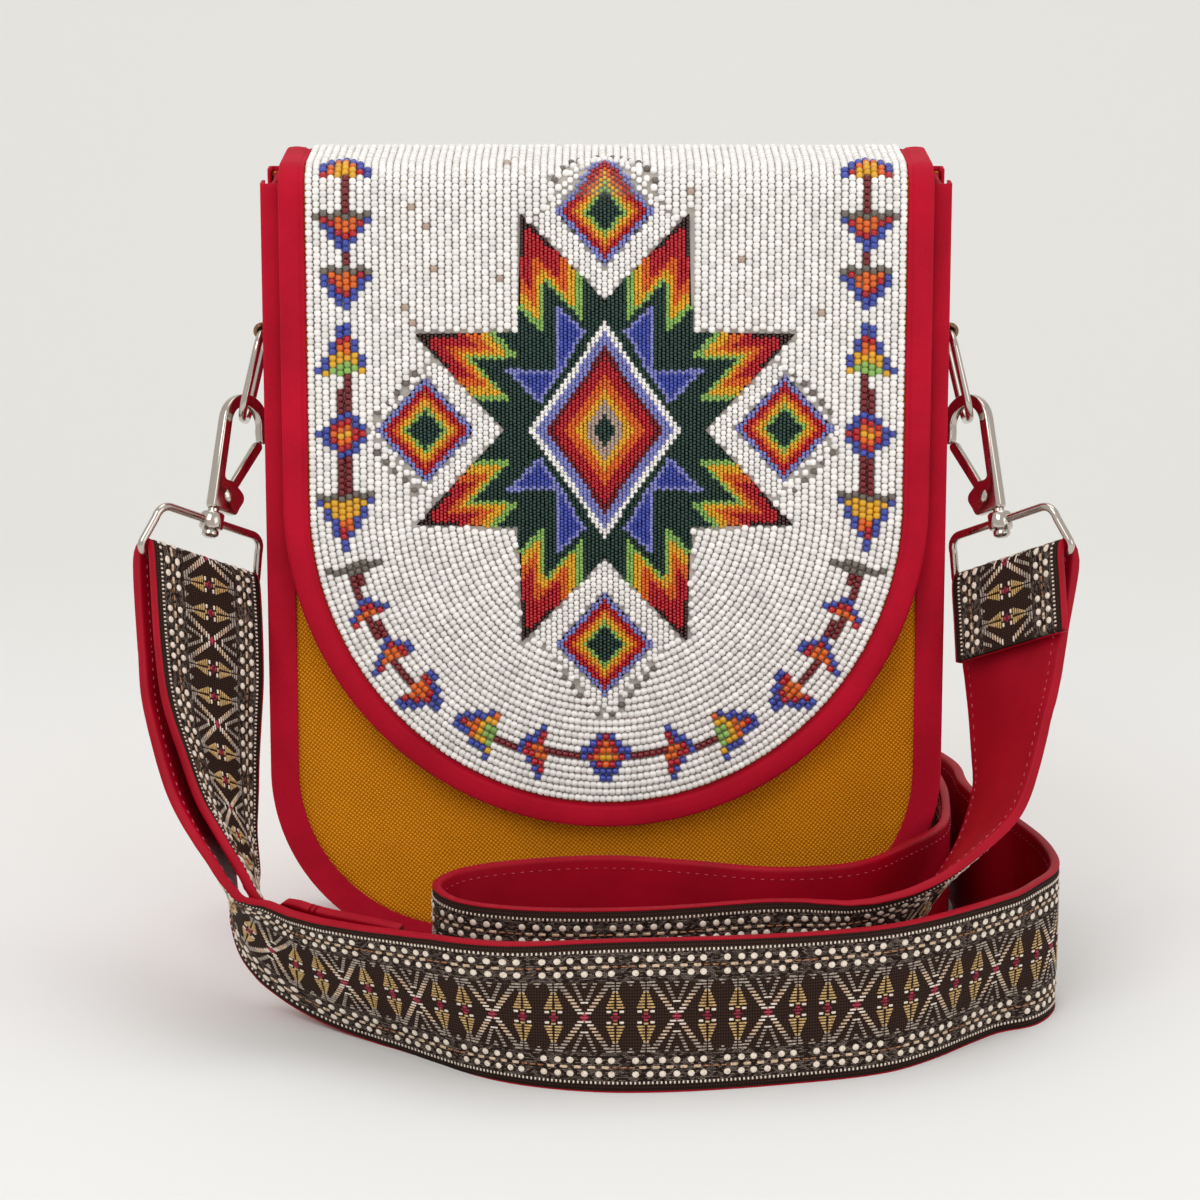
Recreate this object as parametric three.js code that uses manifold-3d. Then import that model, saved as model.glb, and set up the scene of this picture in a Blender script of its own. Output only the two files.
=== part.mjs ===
// A beaded crossbody bag: an upright canvas pouch with a round-ended beaded flap, red bias
// bindings, and a woven strap that stands on edge around it and clips on with swivel hooks.
// Millimetres, +Z up, the front faces -Y, and the origin is on the table under the bag's middle.

import * as THREE from 'three';
import Module from 'manifold-3d';
import { mergeVertices } from 'three/addons/utils/BufferGeometryUtils.js';

// Driving dimensions of the pouch
const BODY_WIDTH = 204;
const BODY_HEIGHT = 237;
const BODY_DEPTH_BOTTOM = 50;
const BODY_DEPTH_TOP = 32;
const BODY_CORNER_RADIUS = 58;
const PANEL_THICKNESS = 2.2;
const GUSSET_THICKNESS = 1.8;
const GUSSET_STEP = 0.5;
const GUSSET_STEP_REACH = 2;
const FACE_BINDING_WIDTH = 8.6;
const SIDE_BINDING_WIDTH = 6;
const BINDING_THICKNESS = 1.1;
const MOUTH_HEM_WIDTH = 8;
const CLEARANCE = 0.3;

// Driving dimensions of the flap
const FLAP_WIDTH = 193;
const FLAP_BOTTOM_Z = 42;
const FLAP_ROUND_DROP = 100;
const FLAP_THICKNESS = 1.6;
const FLAP_BINDING_WIDTH = 7.8;
const FLAP_FRONT_FOLD_RADIUS = 6;
const FLAP_BACK_FOLD_RADIUS = 6;
const FLAP_TOP_CLEARANCE = 1.6;
const FLAP_FRONT_CLEARANCE = 1.6;
const FLAP_TAIL_LENGTH = 24;

// Driving dimensions of the beadwork
const BEAD_HEIGHT = 1.8;
const STRING_COUNT = 13;
const CHAIN_BELOW_TOP = 11;
const MOTIF_JOINT = 0.32;
const MOTIF_OVERLAP = 0.02;
const STAR_UNIT_X = 25.8;
const STAR_UNIT_Z = 29.7;
const STAR_BELOW_TOP = 72.5;
const STAR_CENTRE_Z = BODY_HEIGHT - STAR_BELOW_TOP;
const DIAMOND_HALF_WIDTH = 13.9;
const DIAMOND_HALF_HEIGHT = 15.2;

// Driving dimensions of the hardware
const RING_WIRE = 2.4;
const RING_INNER_WIDTH = 18.4;
const RING_HEIGHT = 26.8;
const RING_BELOW_TOP = 48;
const RING_TOP_Z = BODY_HEIGHT - RING_BELOW_TOP;
const TAB_WIDTH = 14;
const RING_CORNER_RADIUS = 4.5;
const TAB_THICKNESS = 1.1;
const TAB_SEWN_LENGTH = 14;
const HOOK_THICKNESS = 3.4;
const HOOK_BAR_WIDTH = 3.7;
const HOOK_MOUTH_WIDTH = 15.5;
const HOOK_HEIGHT = 37.5;
const HOOK_BASE_HEIGHT = 10;
const GATE_WIDTH = 3.2;
const GATE_THICKNESS = 1.6;
const RIVET_RADIUS = 1.6;
const POST_RADIUS = 1.7;
const POST_HEAD_RADIUS = 2.6;
const POST_HEAD_HEIGHT = 2.2;
const EYE_WALL = 1.6;
const EYE_HEIGHT = 5;
const EYE_GAP = 1.2;
const LOOP_WIRE = 2.5;
const LOOP_WIDTH = 47.6;
const LOOP_TOP_WIDTH = 43;
const LOOP_TOP_RADIUS = 4;
const LOOP_HEIGHT = 15;
const LOOP_CORNER_RADIUS = 2.1;

// How the hooks and rings hang at rest, in degrees, and where the post leaves the right hook
const HOOK_TURN = 51;
const HOOK_TIP = 12.5;
const HOOK_ROLL = 24.8;
const LOOP_TILT = 13;
const RING_LEAN = 12.9;
const RING_TIP = 15.7;
const HOOK_OUT = 15.2;
const HOOK_FORWARD = 26;
const HOOK_BELOW_RING = 48.4;
const POST_PLACE = [BODY_WIDTH / 2 + HOOK_OUT, -HOOK_FORWARD, RING_TOP_Z - HOOK_BELOW_RING];

// Driving dimensions of the strap
const STRAP_WIDTH = 44;
const WEBBING_THICKNESS = 1.5;
const LINING_THICKNESS = 0.9;
const STRAP_STEPS = 3;

const wasm = await Module();
wasm.setup();

const COLOURS = {
  canvas: [0xb8701c, 0.9, 0],
  redBias: [0x9c1430, 0.75, 0],
  redCloth: [0x8c0f2a, 0.8, 0],
  nickel: [0xc9c4bf, 0.22, 1],
  darkNickel: [0x8d8782, 0.3, 1],
  jacquard: [0x4a342c, 0.9, 0],
  tabWeave: [0x8a6a4c, 0.9, 0],
  pearlBead: [0xf1eeea, 0.3, 0],
  darkGreenBead: [0x17332c, 0.3, 0],
  yellowBead: [0xe2a52b, 0.3, 0],
  orangeBead: [0xdd6a1e, 0.3, 0],
  redBead: [0xb3122a, 0.3, 0],
  blueBead: [0x5560a8, 0.3, 0],
};

const bag = new THREE.Group();

function addPiece(name, geometry, colour, parent = bag) {
  const [hex, roughness, metalness] = COLOURS[colour];
  const material = new THREE.MeshStandardMaterial({ color: hex, roughness, metalness });
  const mesh = new THREE.Mesh(geometry, material);
  mesh.name = name;
  parent.add(mesh);
  return mesh;
}

// Solids, and moving between geometry and booleans

function solidFrom(geometry) {
  const plain = geometry.clone();
  plain.deleteAttribute('normal');
  plain.deleteAttribute('uv');
  const merged = mergeVertices(plain, 1e-4);
  return new wasm.Manifold(new wasm.Mesh({
    numProp: 3,
    vertProperties: new Float32Array(merged.attributes.position.array),
    triVerts: new Uint32Array(merged.index.array),
  }));
}

function geometryFrom(solid) {
  const mesh = solid.getMesh();
  const geometry = new THREE.BufferGeometry();
  geometry.setAttribute('position', new THREE.BufferAttribute(mesh.vertProperties, 3));
  geometry.setIndex(new THREE.BufferAttribute(mesh.triVerts, 1));
  return geometry;
}

function join(geometries) {
  return geometryFrom(geometries.map(solidFrom).reduce((sum, next) => sum.add(next)));
}

function cut(geometry, cutters) {
  const solids = cutters.map(solidFrom);
  return geometryFrom(solids.reduce((rest, next) => rest.subtract(next), solidFrom(geometry)));
}

function signedVolume(points, triangles) {
  let volume = 0;
  for (const [a, b, c] of triangles) {
    volume += points[a].dot(new THREE.Vector3().crossVectors(points[b], points[c])) / 6;
  }
  return volume;
}

function geometryOf(points, triangles) {
  const outward = signedVolume(points, triangles) > 0;
  const index = triangles.flatMap(([a, b, c]) => (outward ? [a, b, c] : [a, c, b]));
  const geometry = new THREE.BufferGeometry();
  geometry.setAttribute('position', new THREE.Float32BufferAttribute(points.flatMap((p) => p.toArray()), 3));
  geometry.setIndex(index);
  return geometry;
}

// A polygon's corners run counterclockwise, and its triangles too
function counterclockwise(polygon) {
  const flat = polygon.map(([u, v]) => new THREE.Vector2(u, v));
  return THREE.ShapeUtils.area(flat) < 0 ? polygon.slice().reverse() : polygon;
}

function trianglesOf(polygon) {
  const flat = polygon.map(([u, v]) => new THREE.Vector2(u, v));
  return THREE.ShapeUtils.triangulateShape(flat, []).map(([a, b, c]) => {
    const turn = THREE.ShapeUtils.area([flat[a], flat[b], flat[c]]);
    return turn < 0 ? [a, c, b] : [a, b, c];
  });
}

// A closed solid whose section, a flat polygon, is placed at each station by place(station, u, v)
function loft(stations, sectionPoints, place) {
  const section = counterclockwise(sectionPoints);
  const size = section.length;
  const points = [];
  const triangles = [];
  for (const station of stations) {
    for (const [u, v] of section) points.push(place(station, u, v));
  }
  for (let i = 0; i < stations.length - 1; i += 1) {
    for (let j = 0; j < size; j += 1) {
      const k = (j + 1) % size;
      const [a, b] = [i * size + j, i * size + k];
      // Twisted faces that lie face to face are split along the same diagonal
      if (section[j][0] <= section[k][0]) triangles.push([a, b, b + size], [a, b + size, a + size]);
      else triangles.push([a, b, a + size], [b, b + size, a + size]);
    }
  }
  const last = (stations.length - 1) * size;
  for (const [a, b, c] of trianglesOf(section)) {
    triangles.push([a, c, b], [last + a, last + b, last + c]);
  }
  return geometryOf(points, triangles);
}

// A slab between two copies of a flat polygon, each placed by place(u, v, height)
function slab(polygon, low, high, place) {
  return loft([low, high], polygon, (height, u, v) => place(u, v, height));
}

// The pouch: its outline is straight sides and a flat base joined by round corners

function halfDepth(z) {
  return (BODY_DEPTH_BOTTOM + (BODY_DEPTH_TOP - BODY_DEPTH_BOTTOM) * (z / BODY_HEIGHT)) / 2;
}

// Stations down the left side, round the base and up the right side, with the inward normal
function bodyOutline(top = BODY_HEIGHT, arcSteps = 9) {
  const half = BODY_WIDTH / 2;
  const radius = BODY_CORNER_RADIUS;
  const stations = [{ x: -half, z: top, nx: 1, nz: 0 }];
  for (let i = 0; i <= arcSteps; i += 1) {
    const angle = Math.PI + (i / arcSteps) * (Math.PI / 2);
    const [c, s] = [Math.cos(angle), Math.sin(angle)];
    stations.push({ x: -half + radius + radius * c, z: radius + radius * s, nx: -c, nz: -s });
  }
  const right = stations.map(({ x, z, nx, nz }) => ({ x: -x, z, nx: -nx, nz })).reverse();
  return [...stations, ...right];
}

function insetPoint(station, inset) {
  return [station.x + station.nx * inset, station.z + station.nz * inset];
}

const PANEL_INSET = BINDING_THICKNESS + CLEARANCE;
const GUSSET_INSET = PANEL_INSET + CLEARANCE;
const PANEL_TOP = BODY_HEIGHT - BINDING_THICKNESS - CLEARANCE;

// side is -1 for the front and 1 for the back; outward is measured from the canvas face
function onPanel(side) {
  return (x, z, outward) => new THREE.Vector3(x, side * (halfDepth(z) + outward), z);
}

function panel(side) {
  const outline = bodyOutline(PANEL_TOP).map((station) => insetPoint(station, PANEL_INSET));
  return slab(outline, -PANEL_THICKNESS, 0, onPanel(side));
}

// On the base, where the bag's weight rests, the bindings press a shallow step into the cloth
function gusset() {
  const inner = GUSSET_INSET + GUSSET_THICKNESS;
  const section = [[GUSSET_INSET, -1], [GUSSET_INSET, 1], [inner, 1], [inner, -1]];
  const strip = loft(bodyOutline(PANEL_TOP), section, (station, inset, side) => {
    const [x, z] = insetPoint(station, inset);
    return new THREE.Vector3(x, side * (halfDepth(z) - PANEL_THICKNESS - CLEARANCE), z);
  });
  const length = BODY_WIDTH - 2 * BODY_CORNER_RADIUS + 2 * GUSSET_STEP_REACH;
  const steps = [-1, 1].map((side) => {
    const step = new THREE.BoxGeometry(length, SIDE_BINDING_WIDTH, 2 * GUSSET_STEP);
    const middle = halfDepth(0) - SIDE_BINDING_WIDTH / 2 - CLEARANCE;
    return step.translate(0, side * middle, GUSSET_INSET);
  });
  return cut(strip, steps);
}

// A tape folded over the seam: one leg on the canvas face and one on the gusset
function faceBinding(side) {
  const t = BINDING_THICKNESS;
  const section = [
    [0, CLEARANCE + t],
    [FACE_BINDING_WIDTH, CLEARANCE + t],
    [FACE_BINDING_WIDTH, CLEARANCE],
    [t, CLEARANCE],
    [t, -SIDE_BINDING_WIDTH],
    [0, -SIDE_BINDING_WIDTH],
  ];
  return loft(bodyOutline(), section, (station, inset, outward) => {
    const [x, z] = insetPoint(station, inset);
    return onPanel(side)(x, z, outward);
  });
}

// The hem over the front panel's top edge, between the side bindings
function mouthHem() {
  const half = BODY_WIDTH / 2 - FACE_BINDING_WIDTH - CLEARANCE;
  const t = BINDING_THICKNESS;
  const low = BODY_HEIGHT - MOUTH_HEM_WIDTH;
  const inner = -PANEL_THICKNESS - CLEARANCE;
  const section = [
    [CLEARANCE + t, low],
    [CLEARANCE + t, BODY_HEIGHT],
    [inner - t, BODY_HEIGHT],
    [inner - t, low],
    [inner, low],
    [inner, PANEL_TOP + CLEARANCE],
    [CLEARANCE, PANEL_TOP + CLEARANCE],
    [CLEARANCE, low],
  ];
  return loft([-half, half], section, (x, outward, z) => onPanel(-1)(x, z, outward));
}

function buildPouch() {
  addPiece('front_panel', panel(-1), 'canvas');
  addPiece('back_panel', panel(1), 'canvas');
  addPiece('gusset', gusset(), 'redCloth');
  addPiece('front_binding', faceBinding(-1), 'redBias');
  addPiece('back_binding', faceBinding(1), 'redBias');
  addPiece('mouth_hem', mouthHem(), 'redBias');
}

// The flap: it rises along the leaning front, folds over the mouth and is sewn down the back.
// Its own coordinates are x, the distance s up from its round end, and the height h off its inside.

const FLAP_STANDOFF = 2 * (BINDING_THICKNESS + CLEARANCE) + FLAP_FRONT_CLEARANCE;
const FLAP_TOP_Z = BODY_HEIGHT + FLAP_TOP_CLEARANCE + BINDING_THICKNESS + CLEARANCE;
const LEAN = Math.atan((BODY_DEPTH_BOTTOM - BODY_DEPTH_TOP) / 2 / BODY_HEIGHT);
const FOLD_TURN = Math.PI / 2 - LEAN;

function flapProfile() {
  const points = [];
  let s = 0;
  const push = (y, z, angle) => {
    const before = points[points.length - 1];
    if (before) s += Math.hypot(y - before.y, z - before.z);
    points.push({ s, y, z, ny: -Math.cos(angle), nz: Math.sin(angle) });
  };
  const frontY = (z) => -halfDepth(z) - FLAP_STANDOFF;
  const foldStartZ = FLAP_TOP_Z - FLAP_FRONT_FOLD_RADIUS * (1 - Math.sin(LEAN));
  push(frontY(FLAP_BOTTOM_Z), FLAP_BOTTOM_Z, LEAN);
  push(frontY(foldStartZ), foldStartZ, LEAN);
  const centreY = frontY(foldStartZ) + FLAP_FRONT_FOLD_RADIUS * Math.cos(LEAN);
  const centreZ = FLAP_TOP_Z - FLAP_FRONT_FOLD_RADIUS;
  for (let i = 1; i <= 5; i += 1) {
    const angle = LEAN + (i / 5) * FOLD_TURN;
    const [c, n] = [Math.cos(angle), Math.sin(angle)];
    push(centreY - FLAP_FRONT_FOLD_RADIUS * c, centreZ + FLAP_FRONT_FOLD_RADIUS * n, angle);
  }
  const backFoldZ = FLAP_TOP_Z - FLAP_BACK_FOLD_RADIUS;
  const backFaceY = halfDepth(backFoldZ) + FLAP_STANDOFF;
  const backCentreY = backFaceY - FLAP_BACK_FOLD_RADIUS;
  for (let i = 0; i <= 3; i += 1) {
    const angle = Math.PI / 2 + (i / 3) * FOLD_TURN;
    const [c, n] = [Math.cos(angle), Math.sin(angle)];
    push(backCentreY - FLAP_BACK_FOLD_RADIUS * c, backFoldZ + FLAP_BACK_FOLD_RADIUS * n, angle);
  }
  const last = points[points.length - 1];
  const tailAngle = Math.PI / 2 + FOLD_TURN;
  push(last.y + FLAP_TAIL_LENGTH * Math.sin(LEAN), last.z - FLAP_TAIL_LENGTH * Math.cos(LEAN), tailAngle);
  return points;
}

const PROFILE = flapProfile();
const FOLD_FIRST = 1;
const BEADS_END = 7;

function profileAt(s) {
  let i = 0;
  while (i < PROFILE.length - 2 && s > PROFILE[i + 1].s) i += 1;
  const [a, b] = [PROFILE[i], PROFILE[i + 1]];
  const t = (s - a.s) / (b.s - a.s);
  const mix = (key) => a[key] + (b[key] - a[key]) * t;
  return { y: mix('y'), z: mix('z'), ny: mix('ny'), nz: mix('nz') };
}

function flapPoint(x, s, h) {
  const { y, z, ny, nz } = profileAt(s);
  return new THREE.Vector3(x, y + ny * h, z + nz * h);
}

function flapHeightOf(z) {
  return (z - FLAP_BOTTOM_Z) / Math.cos(LEAN);
}

// Stations round the flap at an inset from its edge, with the inward normal, from end to end
function flapOutline(inset, endIndex, arcSteps = 8) {
  const halfWidth = FLAP_WIDTH / 2 - inset;
  const drop = FLAP_ROUND_DROP - inset;
  const left = [];
  for (let i = endIndex; i >= FOLD_FIRST; i -= 1) left.push({ x: -halfWidth, s: PROFILE[i].s, nx: 1, ns: 0 });
  for (let i = 0; i <= arcSteps; i += 1) {
    const angle = Math.PI + (i / arcSteps) * (Math.PI / 2);
    const [c, n] = [Math.cos(angle), Math.sin(angle)];
    const length = Math.hypot(drop * c, halfWidth * n);
    left.push({
      x: halfWidth * c,
      s: FLAP_ROUND_DROP + drop * n,
      nx: (-drop * c) / length,
      ns: (-halfWidth * n) / length,
    });
  }
  const right = left.slice(0, -1).map(({ x, s, nx, ns }) => ({ x: -x, s, nx: -nx, ns })).reverse();
  return [...left, ...right];
}

function onFlap(station, across, h) {
  return flapPoint(station.x + station.nx * across, station.s + station.ns * across, h);
}

// The cloth is made as one round-ended slab and a strip over the folds
function flapBacking() {
  const inset = BINDING_THICKNESS + CLEARANCE;
  const end = PROFILE.length - 1;
  const round = flapOutline(inset, FOLD_FIRST).map(({ x, s }) => [x, s]);
  const front = slab(round, 0, FLAP_THICKNESS, flapPoint);
  const half = FLAP_WIDTH / 2 - inset;
  const strip = loft(
    PROFILE.slice(FOLD_FIRST, end + 1),
    [[-half, 0], [half, 0], [half, FLAP_THICKNESS], [-half, FLAP_THICKNESS]],
    (p, x, h) => new THREE.Vector3(x, p.y + p.ny * h, p.z + p.nz * h),
  );
  return join([front, strip]);
}

function flapBinding() {
  const t = BINDING_THICKNESS;
  const w = FLAP_BINDING_WIDTH;
  const section = [
    [0, -CLEARANCE - t],
    [w, -CLEARANCE - t],
    [w, -CLEARANCE],
    [t, -CLEARANCE],
    [t, FLAP_THICKNESS + CLEARANCE],
    [w, FLAP_THICKNESS + CLEARANCE],
    [w, FLAP_THICKNESS + CLEARANCE + t],
    [0, FLAP_THICKNESS + CLEARANCE + t],
  ];
  return loft(flapOutline(0, PROFILE.length - 1), section, onFlap);
}

const BEAD_LOW = FLAP_THICKNESS + CLEARANCE;
const FIELD_INSET = FLAP_BINDING_WIDTH + CLEARANCE;
const FIELD_HALF_WIDTH = FLAP_WIDTH / 2 - FIELD_INSET;
const STRING_PITCH = FIELD_HALF_WIDTH / (STRING_COUNT + 0.5);

// Strings of beads are couched side by side: they run down the flap and turn round its end
function beadStrings() {
  const half = STRING_PITCH / 2;
  const low = BEAD_LOW + BEAD_HEIGHT / 4;
  const section = [[-half, low], [half, low], [0, BEAD_LOW + BEAD_HEIGHT]];
  const strings = [];
  for (let i = 0; i < STRING_COUNT; i += 1) {
    const inset = FIELD_INSET + 0.1 + STRING_PITCH * (i + 0.5);
    const steps = Math.max(2, Math.round(8 - i * 0.4));
    strings.push(loft(flapOutline(inset, BEADS_END, steps), section, onFlap));
  }
  const middle = PROFILE.slice(FOLD_FIRST, BEADS_END + 1).map(({ s }) => s);
  strings.push(loft([FLAP_ROUND_DROP, ...middle], section, (s, x, h) => flapPoint(x, s, h)));
  return strings;
}

// The bead layer's own sheet keeps its strings together
function beadSheet() {
  const top = BEAD_LOW + BEAD_HEIGHT / 2;
  const round = flapOutline(FIELD_INSET, FOLD_FIRST).map(({ x, s }) => [x, s]);
  const front = slab(round, BEAD_LOW, top, flapPoint);
  const half = FIELD_HALF_WIDTH;
  const section = [[-half, BEAD_LOW], [half, BEAD_LOW], [half, top], [-half, top]];
  const strip = loft(PROFILE.slice(FOLD_FIRST, BEADS_END + 1), section, (p, x, h) => (
    new THREE.Vector3(x, p.y + p.ny * h, p.z + p.nz * h)
  ));
  return [front, strip];
}

// Motifs are flat fields of one colour, cut where the cloth folds

function clipBelow(polygon, level, keepLow) {
  const side = ([, s]) => (keepLow ? level - s : s - level);
  const out = [];
  polygon.forEach((a, i) => {
    const b = polygon[(i + 1) % polygon.length];
    const [da, db] = [side(a), side(b)];
    if (da >= 0) out.push(a);
    if ((da > 0 && db < 0) || (da < 0 && db > 0)) {
      const t = da / (da - db);
      out.push([a[0] + (b[0] - a[0]) * t, a[1] + (b[1] - a[1]) * t]);
    }
  });
  return withoutTwins(out);
}

function bandsOf(polygon) {
  let rest = polygon;
  const bands = [];
  for (const { s } of PROFILE.slice(FOLD_FIRST, BEADS_END)) {
    const low = clipBelow(rest, s, true);
    rest = clipBelow(rest, s, false);
    if (area(low) > 0.05) bands.push(low);
    if (area(rest) <= 0.05) return bands;
  }
  bands.push(rest);
  return bands;
}

function withoutTwins(polygon) {
  return polygon.filter((a, i) => {
    const b = polygon[(i + 1) % polygon.length];
    return Math.hypot(a[0] - b[0], a[1] - b[1]) > 0.02;
  });
}

function area(polygon) {
  if (polygon.length < 3) return 0;
  return Math.abs(THREE.ShapeUtils.area(polygon.map(([x, s]) => new THREE.Vector2(x, s))));
}

// A convex polygon with each edge moved inwards, or outwards where by is negative
function shrunk(polygon, by) {
  const count = polygon.length;
  const centre = polygon.reduce(([x, s], p) => [x + p[0] / count, s + p[1] / count], [0, 0]);
  const lines = polygon.map((a, i) => {
    const b = polygon[(i + 1) % polygon.length];
    const length = Math.hypot(b[0] - a[0], b[1] - a[1]);
    let normal = [(a[1] - b[1]) / length, (b[0] - a[0]) / length];
    const inward = (centre[0] - a[0]) * normal[0] + (centre[1] - a[1]) * normal[1];
    if (inward < 0) normal = normal.map((n) => -n);
    return { normal, offset: a[0] * normal[0] + a[1] * normal[1] + by };
  });
  return lines.map((line, i) => {
    const before = lines[(i + lines.length - 1) % lines.length];
    const det = before.normal[0] * line.normal[1] - before.normal[1] * line.normal[0];
    return [
      (before.offset * line.normal[1] - line.offset * before.normal[1]) / det,
      (before.normal[0] * line.offset - line.normal[0] * before.offset) / det,
    ];
  });
}

const motifGrounds = [];

// A motif's solid: the union of polygons, less the fields set into it
function motifSolid(polygons, holes = []) {
  const solidOf = (polygon, edge, low, high) => bandsOf(shrunk(polygon, edge))
    .map((tile) => solidFrom(slab(tile, low, high, flapPoint)))
    .reduce((sum, next) => sum.add(next));
  const high = BEAD_LOW + BEAD_HEIGHT;
  const tiles = polygons.map((polygon) => solidOf(polygon, -MOTIF_OVERLAP, BEAD_LOW, high));
  let solid = tiles.reduce((sum, next) => sum.add(next));
  for (const hole of holes) solid = solid.subtract(solidOf(hole, -MOTIF_JOINT, BEAD_LOW - 1, high + 1));
  return solid;
}

function ground(polygon) {
  for (const tile of bandsOf(shrunk(polygon, -MOTIF_JOINT))) {
    motifGrounds.push(slab(tile, BEAD_LOW - CLEARANCE / 2, BEAD_LOW + 2 * BEAD_HEIGHT, flapPoint));
  }
}

function diamondAt(x, s, halfWidth, halfHeight, share = 1) {
  const [w, h] = [halfWidth * share, halfHeight * share];
  return [[x + w, s], [x, s + h], [x - w, s], [x, s - h]];
}

function diamond(label, x, s) {
  const [w, h] = [DIAMOND_HALF_WIDTH, DIAMOND_HALF_HEIGHT];
  const outer = diamondAt(x, s, w, h);
  const middle = diamondAt(x, s, w, h, 0.74);
  const core = diamondAt(x, s, w, h, 0.42);
  ground(outer);
  addPiece(`diamond_${label}_edge`, geometryFrom(motifSolid([outer], [middle])), 'blueBead');
  addPiece(`diamond_${label}_middle`, geometryFrom(motifSolid([middle], [core])), 'orangeBead');
  addPiece(`diamond_${label}_core`, geometryFrom(motifSolid([core])), 'darkGreenBead');
}

// The star's eight points are one parallelogram, mirrored and swapped; u and v count star units
const POINT_FIELD = [[0, 0], [0, 1.33], [0.94, 2.22], [1, 1]];
const POINT_TIP = [[0.36, 1.67], [0.94, 2.22], [0.975, 1.5], [0.78, 1.36]];

// The outline of all eight points together
function starOutline(centreX, centreS) {
  const quarter = [POINT_FIELD[3], POINT_FIELD[2], POINT_FIELD[1]];
  const outline = [];
  for (const [right, up] of [[1, 1], [-1, 1], [-1, -1], [1, -1]]) {
    const swapped = quarter.slice(1).map(([u, v]) => [v, u]).reverse();
    const half = [...swapped, ...quarter].map(([u, v]) => [
      centreX + right * u * STAR_UNIT_X,
      centreS + up * v * STAR_UNIT_Z,
    ]);
    outline.push(...(right * up > 0 ? half.slice(0, -1) : half.reverse().slice(0, -1)));
  }
  return outline;
}

function star(centreX, centreS) {
  const points = [];
  const tips = [];
  for (const swap of [false, true]) {
    for (const right of [1, -1]) {
      for (const up of [1, -1]) {
        const place = ([u, v]) => {
          const [a, b] = swap ? [v, u] : [u, v];
          return [centreX + right * a * STAR_UNIT_X, centreS + up * b * STAR_UNIT_Z];
        };
        points.push(POINT_FIELD.map(place));
        tips.push(POINT_TIP.map(place));
      }
    }
  }
  points.forEach(ground);
  const [w, h] = [0.86 * STAR_UNIT_X, 1.07 * STAR_UNIT_Z];
  const outer = diamondAt(centreX, centreS, w, h);
  const middle = diamondAt(centreX, centreS, w, h, 0.76);
  const core = diamondAt(centreX, centreS, w, h, 0.4);
  const outline = slab(starOutline(centreX, centreS), BEAD_LOW, BEAD_LOW + BEAD_HEIGHT, flapPoint);
  const holes = [outer, ...tips].map((polygon) => (
    slab(shrunk(polygon, -MOTIF_JOINT), BEAD_LOW - 1, BEAD_LOW + 2 * BEAD_HEIGHT, flapPoint)
  ));
  addPiece('star_field', cut(outline, holes), 'darkGreenBead');
  tips.forEach((tip, i) => {
    addPiece(`star_tip_${i + 1}`, geometryFrom(motifSolid([tip])), i % 2 ? 'redBead' : 'orangeBead');
  });
  addPiece('star_diamond_edge', geometryFrom(motifSolid([outer], [middle])), 'blueBead');
  addPiece('star_diamond_middle', geometryFrom(motifSolid([middle], [core])), 'redBead');
  addPiece('star_diamond_core', geometryFrom(motifSolid([core])), 'yellowBead');
}

// An arrow head of half width w and height h on its bar, pointing along angle
function arrow(x, s, angle, w, h) {
  const [c, n] = [Math.cos(angle), Math.sin(angle)];
  return [[-w, -2], [-w, 0], [0, h], [w, 0], [w, -2]].map(([u, v]) => [x + u * n + v * c, s - u * c + v * n]);
}

// The arrows stand in a column inside each edge and follow the round end, strung on one line
const ARROW_INSET = 12.5;
const COLUMN_ARROWS = [[226, -90, 7], [203, -90, 7], [186, 90, 9], [139, -90, 8]];
const CURVE_ARROWS = [15, 29, 43, 59, 75];

function arrowChain(side, label) {
  const x = side * (FIELD_HALF_WIDTH - ARROW_INSET);
  const radians = Math.PI / 180;
  const polygons = [];
  for (const [z, angle, height] of COLUMN_ARROWS) {
    polygons.push(arrow(x, flapHeightOf(z), angle * radians, 6.2, height));
  }
  const halfWidth = FIELD_HALF_WIDTH - ARROW_INSET;
  const drop = FLAP_ROUND_DROP - FIELD_INSET - ARROW_INSET;
  const at = (degrees) => [
    side * halfWidth * Math.cos(degrees * radians),
    FLAP_ROUND_DROP - drop * Math.sin(degrees * radians),
  ];
  for (const degrees of CURVE_ARROWS) {
    const [from, to] = [at(degrees - 1), at(degrees + 1)];
    const heading = Math.atan2(to[1] - from[1], to[0] - from[0]);
    polygons.push(arrow(...at(degrees), heading, 5, 7));
  }
  const string = [];
  const line = [[x, flapHeightOf(BODY_HEIGHT - CHAIN_BELOW_TOP)], [x, FLAP_ROUND_DROP], ...[15, 29, 43, 59, 75, 81].map(at)];
  for (let i = 0; i < line.length - 1; i += 1) {
    const [[ax, as], [bx, bs]] = [line[i], line[i + 1]];
    const length = Math.hypot(bx - ax, bs - as);
    const [nx, ns] = [((as - bs) / length) * 1.2, ((bx - ax) / length) * 1.2];
    const [ex, es] = [((bx - ax) / length) * 0.8, ((bs - as) / length) * 0.8];
    string.push([
      [ax + nx - ex, as + ns - es],
      [bx + nx + ex, bs + ns + es],
      [bx - nx + ex, bs - ns + es],
      [ax - nx - ex, as - ns - es],
    ]);
  }
  polygons.push(...string);
  polygons.forEach(ground);
  addPiece(`arrow_chain_${label}`, geometryFrom(motifSolid(polygons)), 'redBead');
}

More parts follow.
